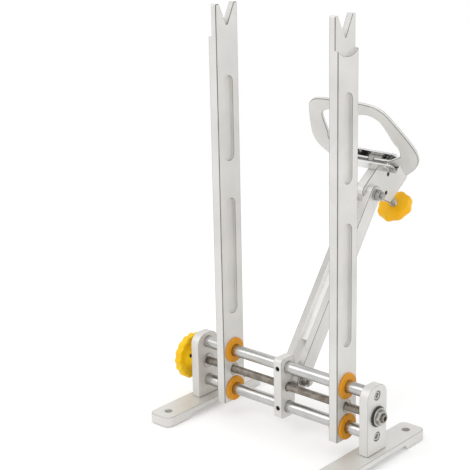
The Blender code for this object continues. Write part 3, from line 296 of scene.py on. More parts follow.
def extrude(outline, levels, axis):
    """An outline over levels of (along, inset); faces where the inset changes take the slot of painted
    edge shade.
    """
    piece = skin([[at(axis, along, a, b) for a, b in inset(outline, amount)]
                  for along, amount in levels])
    sides = len(outline)
    sloped = [index for index, (near, far) in enumerate(zip(levels, levels[1:])) if near[1] != far[1]]
    paint_edge_shade(piece, [index * sides + i for index in sloped for i in range(sides)])
    return piece


def slab(outline, low, high, axis, edge):
    """An outline extruded along an axis, with its rims rounded in three steps."""
    quarter = ((0, 1), (0.134, 0.5), (0.5, 0.134), (1, 0))
    levels = [(low + edge * depth, edge * amount) for depth, amount in quarter]
    levels += [(high - edge * depth, edge * amount) for depth, amount in reversed(quarter)]
    return extrude(outline, levels, axis)


def cutter(outline, low, high, axis, open_low=True, open_high=True, flare=0.35):
    """A cutting tool, flared at the faces it comes out of, so that they get chamfered rims."""
    past = 1
    levels = [(low - past, -flare), (low, -flare), (low + flare, 0)] if open_low else [(low, 0)]
    levels += [(high - flare, 0), (high, -flare), (high + past, -flare)] if open_high else [(high, 0)]
    return extrude(outline, levels, axis)


def rim_levels(face, way):
    """Levels of a tool that bevels the rim of a cut at a face."""
    return [(face - way * 0.6, 0.15), (face, -0.45), (face + way, -0.45)]


def settle(piece):
    """Turn the piece's modifiers into its mesh."""
    depsgraph = bpy.context.evaluated_depsgraph_get()
    mesh = bpy.data.meshes.new_from_object(piece.evaluated_get(depsgraph))
    piece.modifiers.clear()
    piece.data = mesh


def combine(piece, tools, operation="DIFFERENCE"):
    """Cut the tools out of the piece, or join them to it."""
    for tool in tools:
        boolean = piece.modifiers.new("shape", "BOOLEAN")
        boolean.operation = operation
        boolean.solver = "EXACT"
        boolean.object = tool
        settle(piece)
        bpy.data.objects.remove(tool, do_unlink=True)
    return piece


def finish_piece(piece, body, nodes, paint, place=WORLD, more=(), sharp=28):
    """Name and place a piece, shade it, paint it and let it stand for its CAD node."""
    piece.name = nodes[0] + "_form"
    mesh = piece.data
    mesh.transform(place)
    paints = (paint, *more)
    slots = [min(polygon.material_index, len(paints) - 1) for polygon in mesh.polygons]
    mesh.materials.clear()
    for name in paints:
        mesh.materials.append(PAINTS[name])
    mesh.polygons.foreach_set("material_index", slots)
    mesh.shade_smooth()
    mesh.set_sharp_from_angle(angle=radians(sharp))
    even = piece.modifiers.new("even shading", "WEIGHTED_NORMAL")
    even.keep_sharp = True
    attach(piece, body)
    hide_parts(*nodes)


def finish_plate(piece, body, nodes, *more, place=WORLD):
    """Finish a piece of plain aluminium, with more paints of painted shade for its chamfered edges and
    for faces turned to the lamps.
    """
    finish_piece(piece, body, nodes, "aluminium", place, more)


# Materials

def new_material(name):
    """A material with its node tree and shader."""
    material = bpy.data.materials.new(name)
    material.use_nodes = True
    tree = material.node_tree
    return material, tree, tree.nodes["Principled BSDF"]


def set_inputs(node, values):
    """Set some inputs of a node by their names."""
    for name, value in values.items():
        node.inputs[name].default_value = value


def link(tree, source, output, target, entry):
    """Lead an output of one node to an input of another."""
    tree.links.new(source.outputs[output], target.inputs[entry])


def noise(tree, scale, detail, stretch=(1, 1, 1), turn=0.0):
    """Noise in the object's own space, stretched along an axis."""
    coords = tree.nodes.new("ShaderNodeTexCoord")
    mapping = tree.nodes.new("ShaderNodeMapping")
    set_inputs(mapping, {"Scale": stretch, "Rotation": (radians(turn), 0, 0)})
    texture = tree.nodes.new("ShaderNodeTexNoise")
    set_inputs(texture, {"Scale": scale, "Detail": detail})
    link(tree, coords, "Object", mapping, "Vector")
    link(tree, mapping, "Vector", texture, "Vector")
    return texture


def ramp(tree, source, low, high, start, stop):
    """A two-colour ramp over a texture's value."""
    node = tree.nodes.new("ShaderNodeValToRGB")
    for element, place, colour in zip(node.color_ramp.elements, (start, stop), (low, high)):
        element.position = place
        element.color = (*colour, 1)
    link(tree, source, "Fac", node, "Fac")
    return node


def surface(name, low, high, rough, metallic, patch, grain, bump, stretch=(1, 1, 1), turn=0.0,
            specular=0.5):
    """A finish with slow colour drift, fine grain in the roughness and a fine bump."""
    bump_depth = 0.00005
    material, tree, shader = new_material(name)
    drift = ramp(tree, noise(tree, patch, 3), low, high, 0.3, 0.7)
    link(tree, drift, "Color", shader, "Base Color")
    fine = noise(tree, grain, 2, stretch, turn)
    gloss = ramp(tree, fine, (rough[0],) * 3, (rough[1],) * 3, 0.25, 0.75)
    link(tree, gloss, "Color", shader, "Roughness")
    relief = tree.nodes.new("ShaderNodeBump")
    set_inputs(relief, {"Strength": bump, "Distance": bump_depth})
    link(tree, fine, "Fac", relief, "Height")
    link(tree, relief, "Normal", shader, "Normal")
    set_inputs(shader, {"Metallic": metallic, "Specular IOR Level": specular})
    return material


PAINTS = {
    "aluminium": surface("satin_aluminium", (0.68, 0.67, 0.645), (0.77, 0.76, 0.73), (0.42, 0.56),
                         0.45, patch=22, grain=2200, bump=0.12),
    # Painted shade: a dark aluminium for chamfered edges, standing for the dark that the edges reflect
    "aluminium_edge_shade": surface("aluminium_painted_edge_shade", (0.15, 0.147, 0.141), (0.25, 0.245, 0.236),
                              (0.24, 0.36), 0.9, patch=60, grain=1500, bump=0.08),
    # Painted shade: a darker copy of the satin aluminium, for faces turned to the lamps and, on the
    # feet, end plates and centre plate, for the chamfered edges
    "aluminium_shaded": surface("aluminium_painted_shade", (0.52, 0.512, 0.495), (0.6, 0.592, 0.57), (0.4, 0.54),
                      0.45, patch=30, grain=1200, bump=0.12, stretch=(0.1, 1, 1)),
    # Painted light: a pale aluminium without metal, lifting the shade in the arm's groove
    "groove_painted_light": surface("aluminium_painted_light", (0.9, 0.89, 0.87), (0.96, 0.95, 0.93), (0.45, 0.6),
                           0.0, patch=30, grain=1200, bump=0.12, stretch=(1, 1, 0.1)),
    "arm": surface("brushed_arm", (0.68, 0.67, 0.645), (0.77, 0.76, 0.73), (0.38, 0.52), 0.5,
                   patch=25, grain=900, bump=0.12, stretch=(1, 1, 0.04), turn=ARM_LEAN),
    "bracket": surface("polished_sheet", (0.62, 0.62, 0.61), (0.78, 0.78, 0.77), (0.14, 0.28), 1.0,
                       patch=70, grain=700, bump=0.1, stretch=(0.05, 1, 1)),
    "rod": surface("ground_rod", (0.48, 0.478, 0.47), (0.57, 0.567, 0.555), (0.2, 0.32), 1.0,
                   patch=60, grain=1500, bump=0.06, stretch=(0.03, 1, 1)),
    "thread": surface("thread_steel", (0.2, 0.175, 0.15), (0.36, 0.33, 0.29), (0.26, 0.42), 1.0,
                      patch=150, grain=1200, bump=0.15),
    "zinc": surface("zinc_plate", (0.36, 0.355, 0.34), (0.52, 0.51, 0.48), (0.22, 0.38), 1.0,
                    patch=180, grain=1500, bump=0.12),
    "cap": surface("screw_heads", (0.46, 0.455, 0.44), (0.62, 0.61, 0.59), (0.24, 0.38), 1.0,
                   patch=250, grain=2000, bump=0.12),
    "oxide": surface("black_oxide", (0.03, 0.03, 0.03), (0.085, 0.08, 0.075), (0.3, 0.5), 0.9,
                     patch=250, grain=2000, bump=0.15),
    "spring": surface("spring_wire", (0.02, 0.02, 0.02), (0.06, 0.06, 0.06), (0.25, 0.4), 0.9,
                      patch=400, grain=2500, bump=0.1),
    "bronze": surface("nut_bronze", (0.38, 0.35, 0.28), (0.52, 0.485, 0.4), (0.28, 0.42), 1.0,
                      patch=200, grain=1500, bump=0.1),
    "bush": surface("bush_plastic", (0.72, 0.285, 0.004), (0.84, 0.36, 0.008), (0.34, 0.5), 0.0,
                    patch=120, grain=2500, bump=0.12, specular=0.3),
    "knob": surface("knob_plastic", (1.0, 0.58, 0.004), (1.0, 0.68, 0.01), (0.34, 0.5), 0.0,
                    patch=60, grain=1800, bump=0.18, specular=0.3),
    "small_knob": surface("small_knob_plastic", (1.0, 0.48, 0.002), (1.0, 0.57, 0.005),
                          (0.34, 0.5), 0.0, patch=60, grain=1800, bump=0.18, specular=0.3),
    "black": surface("black_plastic", (0.018, 0.018, 0.018), (0.035, 0.035, 0.035), (0.4, 0.55),
                     0.0, patch=120, grain=2200, bump=0.15),
}


# Fasteners

def socket_cap(side, seat, head_r, head_h, radius, tip, centre, socket=2.4):
    """A cap screw along x: a chamfered head with a hexagon socket, and its shank to the tip."""
    top = seat + side * head_h
    rim = 0.14 * head_h
    profile = [(tip, radius * 0.8), (tip + side * 0.6, radius), (seat, radius),
               (seat, head_r - 0.15), (seat + side * 0.15, head_r), (top - side * rim, head_r),
               (top - side * rim * 0.3, head_r - rim * 0.35), (top, head_r - rim)]
    screw = turned(profile, "x", centre, 48)
    low, high = sorted((top - side * socket, top + side * head_h))
    key = prism(hexagon(1.12 * head_r, centre), low, high, "x")
    cone = sorted([(top - side * 0.35, head_r * 0.56), (top + side * 0.2, head_r * 0.78)])
    return combine(screw, [key, turned(cone, "x", centre, 32)])


def grub(side, outer, inner, radius, centre, axis):
    """A set screw with a chamfered rim and a hexagon socket."""
    socket, rim = 2.0, 0.3
    profile = [(inner, radius * 0.7), (inner + side * 0.5, radius), (outer - side * rim, radius),
               (outer, radius - rim)]
    screw = turned(profile, axis, centre, 32)
    low, high = sorted((outer - side * socket, outer + side * socket))
    return combine(screw, [prism(hexagon(1.15 * radius, centre), low, high, axis)])


def nut(flats, bore, low, high, axis, centre, flange=0.0, flange_height=0.0):
    """A hexagon nut with chamfered corners and a countersunk bore, with or without a flange."""
    steps, sides, sink = 5, 72, 0.6
    corner, crown = flats / sqrt(3), 0.48 * flats
    rise = (corner - crown) / sqrt(3)
    ends = [(rise * i / steps, crown + sqrt(3) * rise * i / steps) for i in range(steps + 1)]
    outside = [(low + along, reach, True) for along, reach in ends]
    if flange:
        foot = low + flange_height
        outside = [(low, flange - 0.25, False), (low + 0.2, flange, False),
                   (foot - 0.4, flange, False), (foot - 0.1, flange - 0.3, False),
                   (foot, flange - 0.8, False), (foot, corner, True)]
    outside += [(high - along, reach, True) for along, reach in reversed(ends)]
    levels = outside + [(high, bore + sink, False), (high - sink, bore, False),
                        (low + sink, bore, False), (low, bore + sink, False)]
    rings = []
    for along, reach, six in levels:
        points = []
        for i in range(sides):
            t = tau * i / sides
            limit = flats / 2 / cos(t % (pi / 3) - pi / 6) if six else reach
            points.append(round_at(axis, along, centre, min(reach, limit), t))
        rings.append(points)
    return skin(rings, closed=True)


def threaded(radius, low, high, hands, axis, centre, ends, pitch, starts, depth, samples=8):
    """A threaded bar: hands is a list of (from, to, hand), plain outside them."""
    sides, steep, crest, taper = 36, 1.6, 0.3, 0.6
    count = max(2, int((high - low) / pitch * samples))
    rings = []
    for i in range(count + 1):
        along = low + (high - low) * i / count
        hand, fade = 0, 0.0
        for start, stop, way in hands:
            if start <= along <= stop:
                hand = way
                fade = min(1.0, (along - start) / pitch, (stop - along) / pitch)
        points = []
        for k in range(sides):
            t = tau * (k + 0.5) / sides
            r = radius
            if hand:
                phase = (along / pitch - hand * starts * t / tau) % 1.0
                wave = 0.5 - 0.5 * cos(tau * phase)
                r -= depth * min(1.0, max(0.0, steep * wave - crest)) * fade
            near = min(along - low, high - along)
            if near < ends:
                r -= (ends - near) * taper
            points.append(round_at(axis, along, centre, r, t))
        rings.append(points)
    return skin(rings)


# Uprights

def mark_notch(upright, floor):
    """Put the flanks of the notch in the slot of the darker aluminium: painted shade that keeps these
    faces, turned to the lamps, from lighting up brighter than the faces round them.
    """
    for polygon in upright.data.polygons:
        flank = abs(polygon.normal.x) < 0.2 and abs(polygon.center.y) < 10.4
        inside = flank and polygon.center.z > floor
        polygon.material_index = SHADED_FACE_SLOT if inside else min(polygon.material_index, EDGE_SHADE_SLOT)


def relief_tools(centre, side, top, notch_depth, valley):
    """The tools of the thinner top: its curved step, the notch's rim and two chamfered edges that take
    the dark paint of painted shade.
    """
    radius, drop, above, step, shade_length = 21.75, 14.8, 20, 1.7, 30.2
    face = centre + side * step
    relief = arc((0, top - drop), radius, 180, 360, 40) + [(radius, top + above), (-radius, top + above)]
    low, high = sorted((face, centre + side * UPRIGHT_HALF))
    tools = [cutter(relief, low, high, "x", side < 0, side > 0)]
    notch = rounded([(-12, top + 3, 0), (0, top - notch_depth, valley), (12, top + 3, 0)])
    tools.append(extrude(notch, rim_levels(face, side), "x"))
    for way in (-1, 1):
        corner = [(face - side * step, way * 16), (face + side, way * 13.3),
                  (face + side * 2, way * 17)]
        tools.append(prism(corner, top - shade_length, top + 2, "z", shaded_edges=True))
    return tools


def pocket_tools(centre):
    """The tools of the two machined pockets on each face."""
    radius, floor = 6.25, 2
    tools = []
    for start, length in ((109.0, 120.0), (267.0, 83.5)):
        pocket = stadium(radius, start + radius, start + length - radius, 24)
        for way in (-1, 1):
            low, high = sorted((centre + way * floor, centre + way * UPRIGHT_HALF))
            tools.append(cutter(pocket, low, high, "x", way < 0, way > 0))
    return tools


def make_upright(side, label, body):
    """A flat bar with a V notch, a thinner top, pockets and the seats of bushes and nut."""
    half, foot, top = 15, 14, 419.5
    notch_half, notch_depth, tip, valley, corner = 10.5, 21.5, 1.6, 1.2, 0.8
    centre = side * UPRIGHT_X
    low, high = centre - UPRIGHT_HALF, centre + UPRIGHT_HALF
    outline = rounded([(-half, foot, corner), (half, foot, corner), (half, top, tip),
                       (notch_half, top, tip), (0, top - notch_depth, valley),
                       (-notch_half, top, tip), (-half, top, tip)])
    upright = slab(outline, low, high, "x", 0.7)
    tools = relief_tools(centre, side, top, notch_depth, valley) + pocket_tools(centre)
    for z, _ in ROD_LEVELS:
        tools.append(cutter(circle(BUSH_R + PRESS, (0, z), 64), low, high, "x"))
    tools.append(cutter(circle(LEAD_NUT_R + PRESS, SCREW_LINE), low, high, "x", flare=0.2))
    combine(upright, tools)
    mark_notch(upright, top - notch_depth - 1.5)
    # its chamfered edges take the dark paint and the notch's flanks the darker aluminium, both painted
    # shade
    finish_plate(upright, body, [label + "_upright"], "aluminium_edge_shade", "aluminium_shaded")


def make_bush(name, body, centre, way, z):
    """A flanged bush in one face of an upright; its rim is chamfered."""
    flange, rim, width, bore = 13, 1.0, 2.2, ROD_R + RUN
    near = centre + way * 0.4
    rest = centre + way * (UPRIGHT_HALF + GAP)
    outer = rest + way * width
    profile = [(near, bore), (near, BUSH_R), (rest, BUSH_R), (rest, flange - 0.15),
               (rest + way * 0.15, flange), (outer - way * rim, flange),
               (outer - way * 0.1, flange - rim + 0.1), (outer, flange - rim - 0.1),
               (outer, bore + 0.8), (outer - way * 0.35, bore + 0.2), (outer - way * 0.8, bore)]
    form = turned(profile, "x", (0, z), 72, closed=True)
    finish_piece(form, body, [name], "bush")


def make_uprights():
    """The notched uprights, their flanged bushes and lead nuts."""
    for side, label in SIDES:
        centre = side * UPRIGHT_X
        body = label + "_upright_body"
        make_upright(side, label, body)
        for z, level in ROD_LEVELS:
            for way, face in ((-side, "inner"), (side, "outer")):
                make_bush(f"{label}_{level}_{face}_bush", body, centre, way, z)
        low, high = centre - UPRIGHT_HALF, centre + UPRIGHT_HALF
        form = ring(SCREW_R + RUN, LEAD_NUT_R, low, high, "x", SCREW_LINE)
        finish_piece(form, body, [label + "_lead_nut"], "bronze")


# Feet and end plates

def make_foot(side, label):
    """A flat foot with an arch below, a hole at each end and two screw holes."""
    centre, half, reach, top, corner = side * 106.0, 14, 72.5, 10.4, 7
    wide, narrow, rise = 45.5, 37.5, 4.5
    hole_r, hole_y, screw_y, head_r, head_depth = 4.15, 58, 9, 4.95, 5.0
    plan = box(centre - half, centre + half, -reach, reach, corner)
    foot = slab(plan, 0, top, "z", 0.8)
    arch = [(-wide, -rise), (wide, -rise), (narrow, rise), (-narrow, rise)]
    tools = [cutter(arch, centre - half, centre + half, "x", flare=0.5)]
    for way in (-1, 1):
        screw = (side * (PLATE_IN + PLATE_OUT) / 2, way * screw_y)
        tools.append(cutter(circle(hole_r, (centre, way * hole_y)), 0, top, "z", flare=0.15))
        tools.append(bar(M5_R + PRESS, -5, 20, "z", screw))
        tools.append(bar(head_r, -5, head_depth, "z", screw))
    # its chamfered edges take the darker aluminium, as a milder painted shade
    finish_plate(combine(foot, tools), "base", [label + "_foot"], "aluminium_shaded")


def make_end_plate(side, label):
    """A round-topped plate with sockets for the rods and a seat for the bearing."""
    half, low, high, corner, top_corner = 15, 10.7, 78.8, 0.8, 11.5
    head_r, journal_r = 4.9, 5.5
    outline = box(-half, half, low, high, corner, top_corner)
    plate = slab(outline, *span(side, PLATE_IN, PLATE_OUT), "x", 0.6)
    socket = span(side, PLATE_IN, PLATE_IN + ROD_SOCKET)
    head = span(side, PLATE_SEAT, PLATE_OUT)
    tools = []
    for z, _ in ROD_LEVELS:
        tools.append(cutter(circle(ROD_R + PRESS, (0, z)), *socket, "x", side > 0, side < 0, 0.2))
        tools.append(cutter(circle(head_r, (0, z)), *head, "x", side < 0, side > 0, 0.15))
        tools.append(bar(M5_R + PRESS, *span(side, 100, 120), "x", (0, z)))
    tools.append(bar(BEARING_R + PRESS, *span(side, 100, PLATE_SEAT), "x", SCREW_LINE))
    tools.append(bar(journal_r, *span(side, 100, 130), "x", SCREW_LINE))
    # its chamfered edges take the darker aluminium, as a milder painted shade
    finish_plate(combine(plate, tools), "base", [label + "_end_plate"], "aluminium_shaded")


def make_bearing(side, label):
    """The flanged bearing of the lead screw in an end plate."""
    flange, bore = 7.7, SCREW_R + RUN
    face, inner = side * (PLATE_IN - GAP), side * (PLATE_SEAT - GAP)
    lip = face - side * 0.8
    profile = [(lip, bore), (lip, flange - 0.2), (lip + side * 0.2, flange), (face, flange),
               (face, BEARING_R), (inner, BEARING_R), (inner, bore)]
    form = turned(profile, "x", SCREW_LINE, closed=True)
    finish_piece(form, "base", [label + "_screw_bearing"], "zinc")


def make_rod_screw(side, name, z):
    """The cap screw that holds one end of a rod."""
    seat, head_r, head_h, tip = side * (PLATE_SEAT + GAP), 4.0, 5, side * 93.9
    form = socket_cap(side, seat, head_r, head_h, M5_R, tip, (0, z))
    finish_piece(form, "base", [name], "cap")


def make_feet():
    """The feet, end plates, bearings, washers and their screws."""
    for side, label in SIDES:
        make_foot(side, label)
        make_end_plate(side, label)
        make_bearing(side, label)
        low, high = span(side, PLATE_OUT + GAP, WASHER_OUT)
        form = ring(SCREW_R + PRESS, 10.1, low, high, "x", SCREW_LINE, 0.3)
        finish_piece(form, "base", [label + "_thrust_washer"], "black")
        for z, level in ROD_LEVELS:
            make_rod_screw(side, f"{label}_{level}_rod_screw", z)


# Rods and centre plate

def make_rod(z, level):
    """A ground guide rod with a screw hole in each end."""
    end, rim = PLATE_IN + ROD_SOCKET - GAP, 0.6
    profile = [(-end, ROD_R - rim), (-end + rim, ROD_R), (end - rim, ROD_R), (end, ROD_R - rim)]
    rod = turned(profile, "x", (0, z), 96)
    tools = [bar(M5_R + PRESS, *span(side, 93, 110), "x", (0, z)) for side, _ in SIDES]
    finish_piece(combine(rod, tools), "base", [level + "_guide_rod"], "rod")


def make_rod_grub(z, level):
    """The set screw that clamps the centre plate to a rod."""
    form = grub(-1, CENTRE_FRONT + 0.4, -ROD_R - GAP, ROD_GRUB_R, (0, z), "y")
    finish_piece(form, "base", [level + "_rod_set_screw"], "oxide")


def make_centre_plate():
    """The plate in the middle of the rods, with the ear that carries the arm."""
    back, low, high, corner, inner_corner = 10, 16, 79.2, 4, 2
    screw_hole, ear = 4.8, ARM_EYE
    px, pz = ARM_PIVOT
    outline = rounded([(CENTRE_FRONT, low, corner), (back, low, corner),
                       (back, pz - ear, inner_corner), (px + ear, pz - ear, ear - 0.01),
                       (px + ear, pz + ear, ear - 0.01), (back, pz + ear, inner_corner),
                       (back, high, corner), (CENTRE_FRONT, high, corner)])
    plate = slab(outline, *CENTRE_FACES, "x", 0.6)
    tools = [cutter(circle(screw_hole, SCREW_LINE), *CENTRE_FACES, "x"),
             bar(M6_R + RUN, -10, 10, "x", ARM_PIVOT)]
    for z, _ in ROD_LEVELS:
        grub_hole = circle(ROD_GRUB_R + PRESS, (0, z))
        tools.append(cutter(circle(ROD_R + PRESS, (0, z)), *CENTRE_FACES, "x"))
        tools.append(cutter(grub_hole, CENTRE_FRONT, -ROD_R, "y", True, False, 0.3))
    # its chamfered edges take the darker aluminium, as a milder painted shade
    finish_plate(combine(plate, tools), "base", ["centre_plate"], "aluminium_shaded")


def make_rods():
    """The guide rods, the set screws on them and the centre plate."""
    for z, level in ROD_LEVELS:
        make_rod(z, level)
        make_rod_grub(z, level)
    make_centre_plate()


# Lead screw and hand knob

def make_lead_screw():
    """The lead screw, with one hand of thread on each side and a socket in its right end."""
    left, right = -126.0, 122.2
    hands = [(-98, -4, -1), (4, 98, 1), (104, 121.6, 1), (-112, -100, -1)]
    screw = threaded(SCREW_R, left, right, hands, "x", SCREW_LINE, 0.6, pitch=2.0, starts=4, depth=0.75,
                     samples=6)
    key = prism(hexagon(4.2, SCREW_LINE), right - 2.2, right + 4, "x")
    finish_piece(combine(screw, [key]), "width_screw", ["lead_screw"], "thread",
                 sharp=50)


def make_end_nut():
    """The flanged nut on the right end of the lead screw."""
    flats, flange, flange_height, end = 13, 9.0, 1.3, 120.0
    form = nut(flats, SCREW_R + PRESS, HUB_X, end, "x", SCREW_LINE, flange, flange_height)
    finish_piece(form, "width_screw", ["screw_end_nut"], "zinc")


def lobed_rings(levels, lobes, depth, axis, centre, per_lobe):
    """Rings of a star knob over levels of (along, radius, share of the lobes)."""
    sides = lobes * per_lobe
    rings = []
    for along, radius, share in levels:
        points = []
        for i in range(sides):
            t = tau * i / sides
            r = radius - share * depth * (1 - cos(lobes * t))
            points.append(round_at(axis, along, centre, r, t))
        rings.append(points)
    return rings


def moved(levels, start, way):
    """Levels of a knob, measured from a start along the axis or against it."""
    return [(start + way * along, radius, share) for along, radius, share in levels]


def make_hand_knob():
    """The knob at the left end: hub, dished inner face, fluted rim and a shallow outer dish."""
    shoulder, outer = 121.6, 130.1
    hub_rim = [(0, 10.4, 0), (0.2, 10.9, 0), (0.6, 11.3, 0), (1.2, 11.5, 0)]
    inner_face = [(-0.8, 11.7, 0), (0.6, 12.4, 0), (1.5, 13.8, 0), (1.8, 15.5, 0.1), (1.3, 18, 0.3),
                  (0.6, 20.4, 0.6), (0.15, 22.0, 0.8), (0.3, 23.1, 0.9), (0.9, 23.9, 1),
                  (1.8, 24.35, 1), (3.0, 24.5, 1)]
    outer_face = [(3.0, 24.5, 1), (1.8, 24.3, 1), (0.9, 23.8, 1), (0.3, 22.9, 0.9), (0, 21.6, 0.8),
                  (0.1, 19.5, 0.5), (0.7, 17.5, 0.2), (1.2, 15, 0), (1.3, 8, 0), (0.9, 3, 0)]
    levels = moved(hub_rim, -HUB_X, -1) + moved(inner_face, -shoulder, -1)
    levels += moved(outer_face, -outer, 1)
    knob = skin(lobed_rings(levels, 16, 0.7, "x", SCREW_LINE, 12))
    bore = bar(SCREW_R + PRESS, -126.4, -100, "x", SCREW_LINE)
    hole = bar(HUB_SCREW_R + PRESS, 0, 24, "z")
    hole.data.transform(HUB_SCREW)
    finish_piece(combine(knob, [bore, hole]), "width_screw", ["hand_knob"], "knob",
                 sharp=40)


def make_hub_grub():
    """The set screw in the hub of the hand knob."""
    form = grub(1, 11.1, SCREW_R + GAP, HUB_SCREW_R, (0, 0), "z")
    finish_piece(form, "width_screw", ["hand_knob_set_screw"], "oxide",
                 WORLD @ HUB_SCREW)


# Arm

def mark_groove(arm):
    """Put the arm's front faces in the slot of the darker aluminium, as painted shade, and the walls and
    floor of its groove in the slot of the pale paint, as painted light.
    """
    for polygon in arm.data.polygons:
        x, y, z = polygon.center
        wall = abs(x) < GROOVE_HALF + 0.8 and abs(polygon.normal.x) > 0.9
        level = abs(polygon.normal.y) > 0.5 and 20 < z < ARM_LENGTH - 10
        floor = level and abs(x) < GROOVE_HALF - 0.2 and GROOVE_FLOOR - 2 < y < GROOVE_FLOOR + 1
        front = level and abs(x) > GROOVE_HALF - 0.2 and y < -ARM_EYE + 0.1
        if wall or floor:
            polygon.material_index = GROOVE_LIGHT_SLOT
        elif front:
            polygon.material_index = SHADED_FACE_SLOT
        else:
            polygon.material_index = min(polygon.material_index, EDGE_SHADE_SLOT)


def make_arm():
    """The U-section arm: a groove in front, and forked round both pivots."""
    past, lower_fork, upper_fork, slope = 18, 39, 29, 5
    upper = ARM_LENGTH - upper_fork
    arm = slab(stadium(ARM_EYE, 0, ARM_LENGTH, 32), -ARM_HALF, ARM_HALF, "x", 0.6)
    groove = [(-past, -past), (past, -past), (past, lower_fork - slope), (GROOVE_FLOOR, lower_fork),
              (GROOVE_FLOOR, upper), (past, upper + slope), (past, ARM_LENGTH + past),
              (-past, ARM_LENGTH + past)]
    tools = [prism(groove, -GROOVE_HALF, GROOVE_HALF, "x")]
    mouth = box(-GROOVE_HALF, GROOVE_HALF, 36.05, ARM_LENGTH - 26.05, 0)
    tools.append(extrude(mouth, rim_levels(ARM_EYE, 1), "y"))
    for z in (0, ARM_LENGTH):
        tools.append(bar(M6_R + PRESS, -20, 20, "x", (0, z)))
    mark_groove(combine(arm, tools))
    # chamfered edges painted dark and front faces darker, as painted shade; the groove painted pale, as
    # painted light
    finish_piece(arm, "arm_body", ["arm"], "arm", ARM,
                 more=("aluminium_edge_shade", "aluminium_shaded", "groove_painted_light"))


def make_pivot(label, z):
    """The bolt, washer and nut of one pivot of the arm."""
    centre, seat = (0, z), ARM_HALF + GAP
    head_r, head_h, socket, plain_end, bolt_end = 5, 6, 3, 12, 22.5
    washer_r, washer, flats, nut_low, nut_high = 6, 1.6, 10, 14.7, 19.7
    hands = [(plain_end, bolt_end - 0.1, 1)]
    bolt = socket_cap(-1, -seat, head_r, head_h, M6_R, plain_end, centre, socket)
    stem = threaded(M6_R, plain_end - 1, bolt_end, hands, "x", centre, 0.5, **M6_THREAD)
    finish_piece(combine(bolt, [stem], "UNION"), "arm_body", [label + "_bolt"], "zinc",
                 ARM, sharp=45)
    form = ring(M6_R + PRESS, washer_r, seat, seat + washer, "x", centre, 0.3)
    finish_piece(form, "arm_body", [label + "_washer"], "zinc", ARM)
    form = nut(flats, M6_R + PRESS, nut_low, nut_high, "x", centre)
    finish_piece(form, "arm_body", [label + "_nut"], "zinc", ARM)


# Head

def make_head_plate():
    """The plate on top of the arm, with the bore of the caliper screw and its set screws."""
    eye, heel, front, tail, foot, tapped_r = -9, 5, 19, 58, -36, 1.4
    outline = rounded([(eye, eye, 8.99), (heel, eye, 2.2), (front, foot, 3), (tail, foot, 4.5),
                       (tail, -11, 4.5), (39, 13, 2.2), (eye, 13, 6.3)])
    plate = slab(outline, -HEAD_HALF, HEAD_HALF, "x", 0.6)
    tools = [bar(M6_R + RUN, -20, 20, "x"), bar(M6_R + RUN, -60, 40, "z", STUD_LINE),
             bar(tapped_r, 3, 30, "z", BRACKET_SCREW)]
    for centre, _ in HEAD_GRUBS:
        tools.append(cutter(circle(HEAD_GRUB_R + PRESS, centre), -1, HEAD_HALF, "x", False, True, 0.3))
    # its chamfered edges take the dark paint, as painted shade
    finish_plate(combine(plate, tools), "head", ["head_plate"], "aluminium_edge_shade", place=HEAD)


def make_bracket():
    """The polished channel with chamfered ends, bent at its lower edges."""
    web_low, web_high, top, reach = 13.3, 15.5, 24.5, 31
    bend, inner_bend, lip, past = 1.6, 0.7, 0.4, 0.5
    front, back = BRACKET_OUT
    inner_front, inner_back = BRACKET_IN
    section = rounded([(front, web_low, bend), (back, web_low, bend), (back, top, lip),
                       (inner_back, top, lip), (inner_back, web_high, inner_bend),
                       (inner_front, web_high, inner_bend), (inner_front, top, lip),
                       (front, top, lip)], 15)
    bracket = slab(section, -reach, reach, "x", 0.2)
    tools = []
    for side, _ in SIDES:
        for y0, y1, cut in ((front - 5, inner_front + 2, 3.0), (inner_back - 2, back + 5, 9.0)):
            corner = [(side * (reach + past), top + past), (side * (reach + past), top - cut - past),
                      (side * (reach - cut - past), top + past)]
            tools.append(prism(corner, y0, y1, "y"))
        tools.append(bar(PIN_R + PRESS, 0, 60, "y", (side * PIN_X, PIN_Z)))
    tools.append(bar(M6_R + GAP, 0, 60, "z", STUD_LINE))
    hole_r, sink_r = 1.4, 2.55
    sink = [(10, hole_r), (BRACKET_CONE[0], hole_r), (BRACKET_CONE[1], sink_r), (20, sink_r)]
    tools.append(turned(sink, "z", BRACKET_SCREW, 32))
    finish_piece(combine(bracket, tools), "head", ["caliper_bracket"], "bracket",
                 HEAD)


def make_bracket_screw():
    """The countersunk screw that holds the bracket."""
    tip, shank_r, head_r, socket, flats = 3.9, 1.25, 2.4, 1.1, 1.8
    low, top = BRACKET_CONE
    form = turned([(tip, shank_r), (low, shank_r), (top, head_r)], "z", BRACKET_SCREW, 32)
    form = combine(form, [prism(hexagon(flats, BRACKET_SCREW), top - socket, top + 2.8, "z")])
    finish_piece(form, "head", ["bracket_screw"], "zinc", HEAD)


def make_caliper_screw():
    """The captive screw: a thin thread above and a thicker stud in the knob."""
    plain_end, top = 12, 24.0
    hands = [(STUD_END - 4, STUD_SHOULDER - 0.6, 1)]
    stud = threaded(SCREW_R, STUD_END - 5.7, STUD_SHOULDER, hands, "z", STUD_LINE, 0.4, pitch=1.25,
                    starts=1, depth=0.55)
    hands = [(plain_end, top - 0.2, 1)]
    thin = threaded(M6_R, STUD_SHOULDER - 1, top, hands, "z", STUD_LINE, 0.4, **M6_THREAD)
    finish_piece(combine(thin, [stud], "UNION"), "caliper_knob_body", ["caliper_screw"], "zinc",
                 HEAD, sharp=45)


def make_screw_clip():
    """The clip that keeps the caliper screw in the bracket."""
    outer, low, high = 4.2, 15.8, 16.6
    form = ring(M6_R + PRESS, outer, low, high, "z", STUD_LINE, 0.15)
    finish_piece(form, "caliper_knob_body", ["caliper_screw_clip"], "oxide", HEAD)


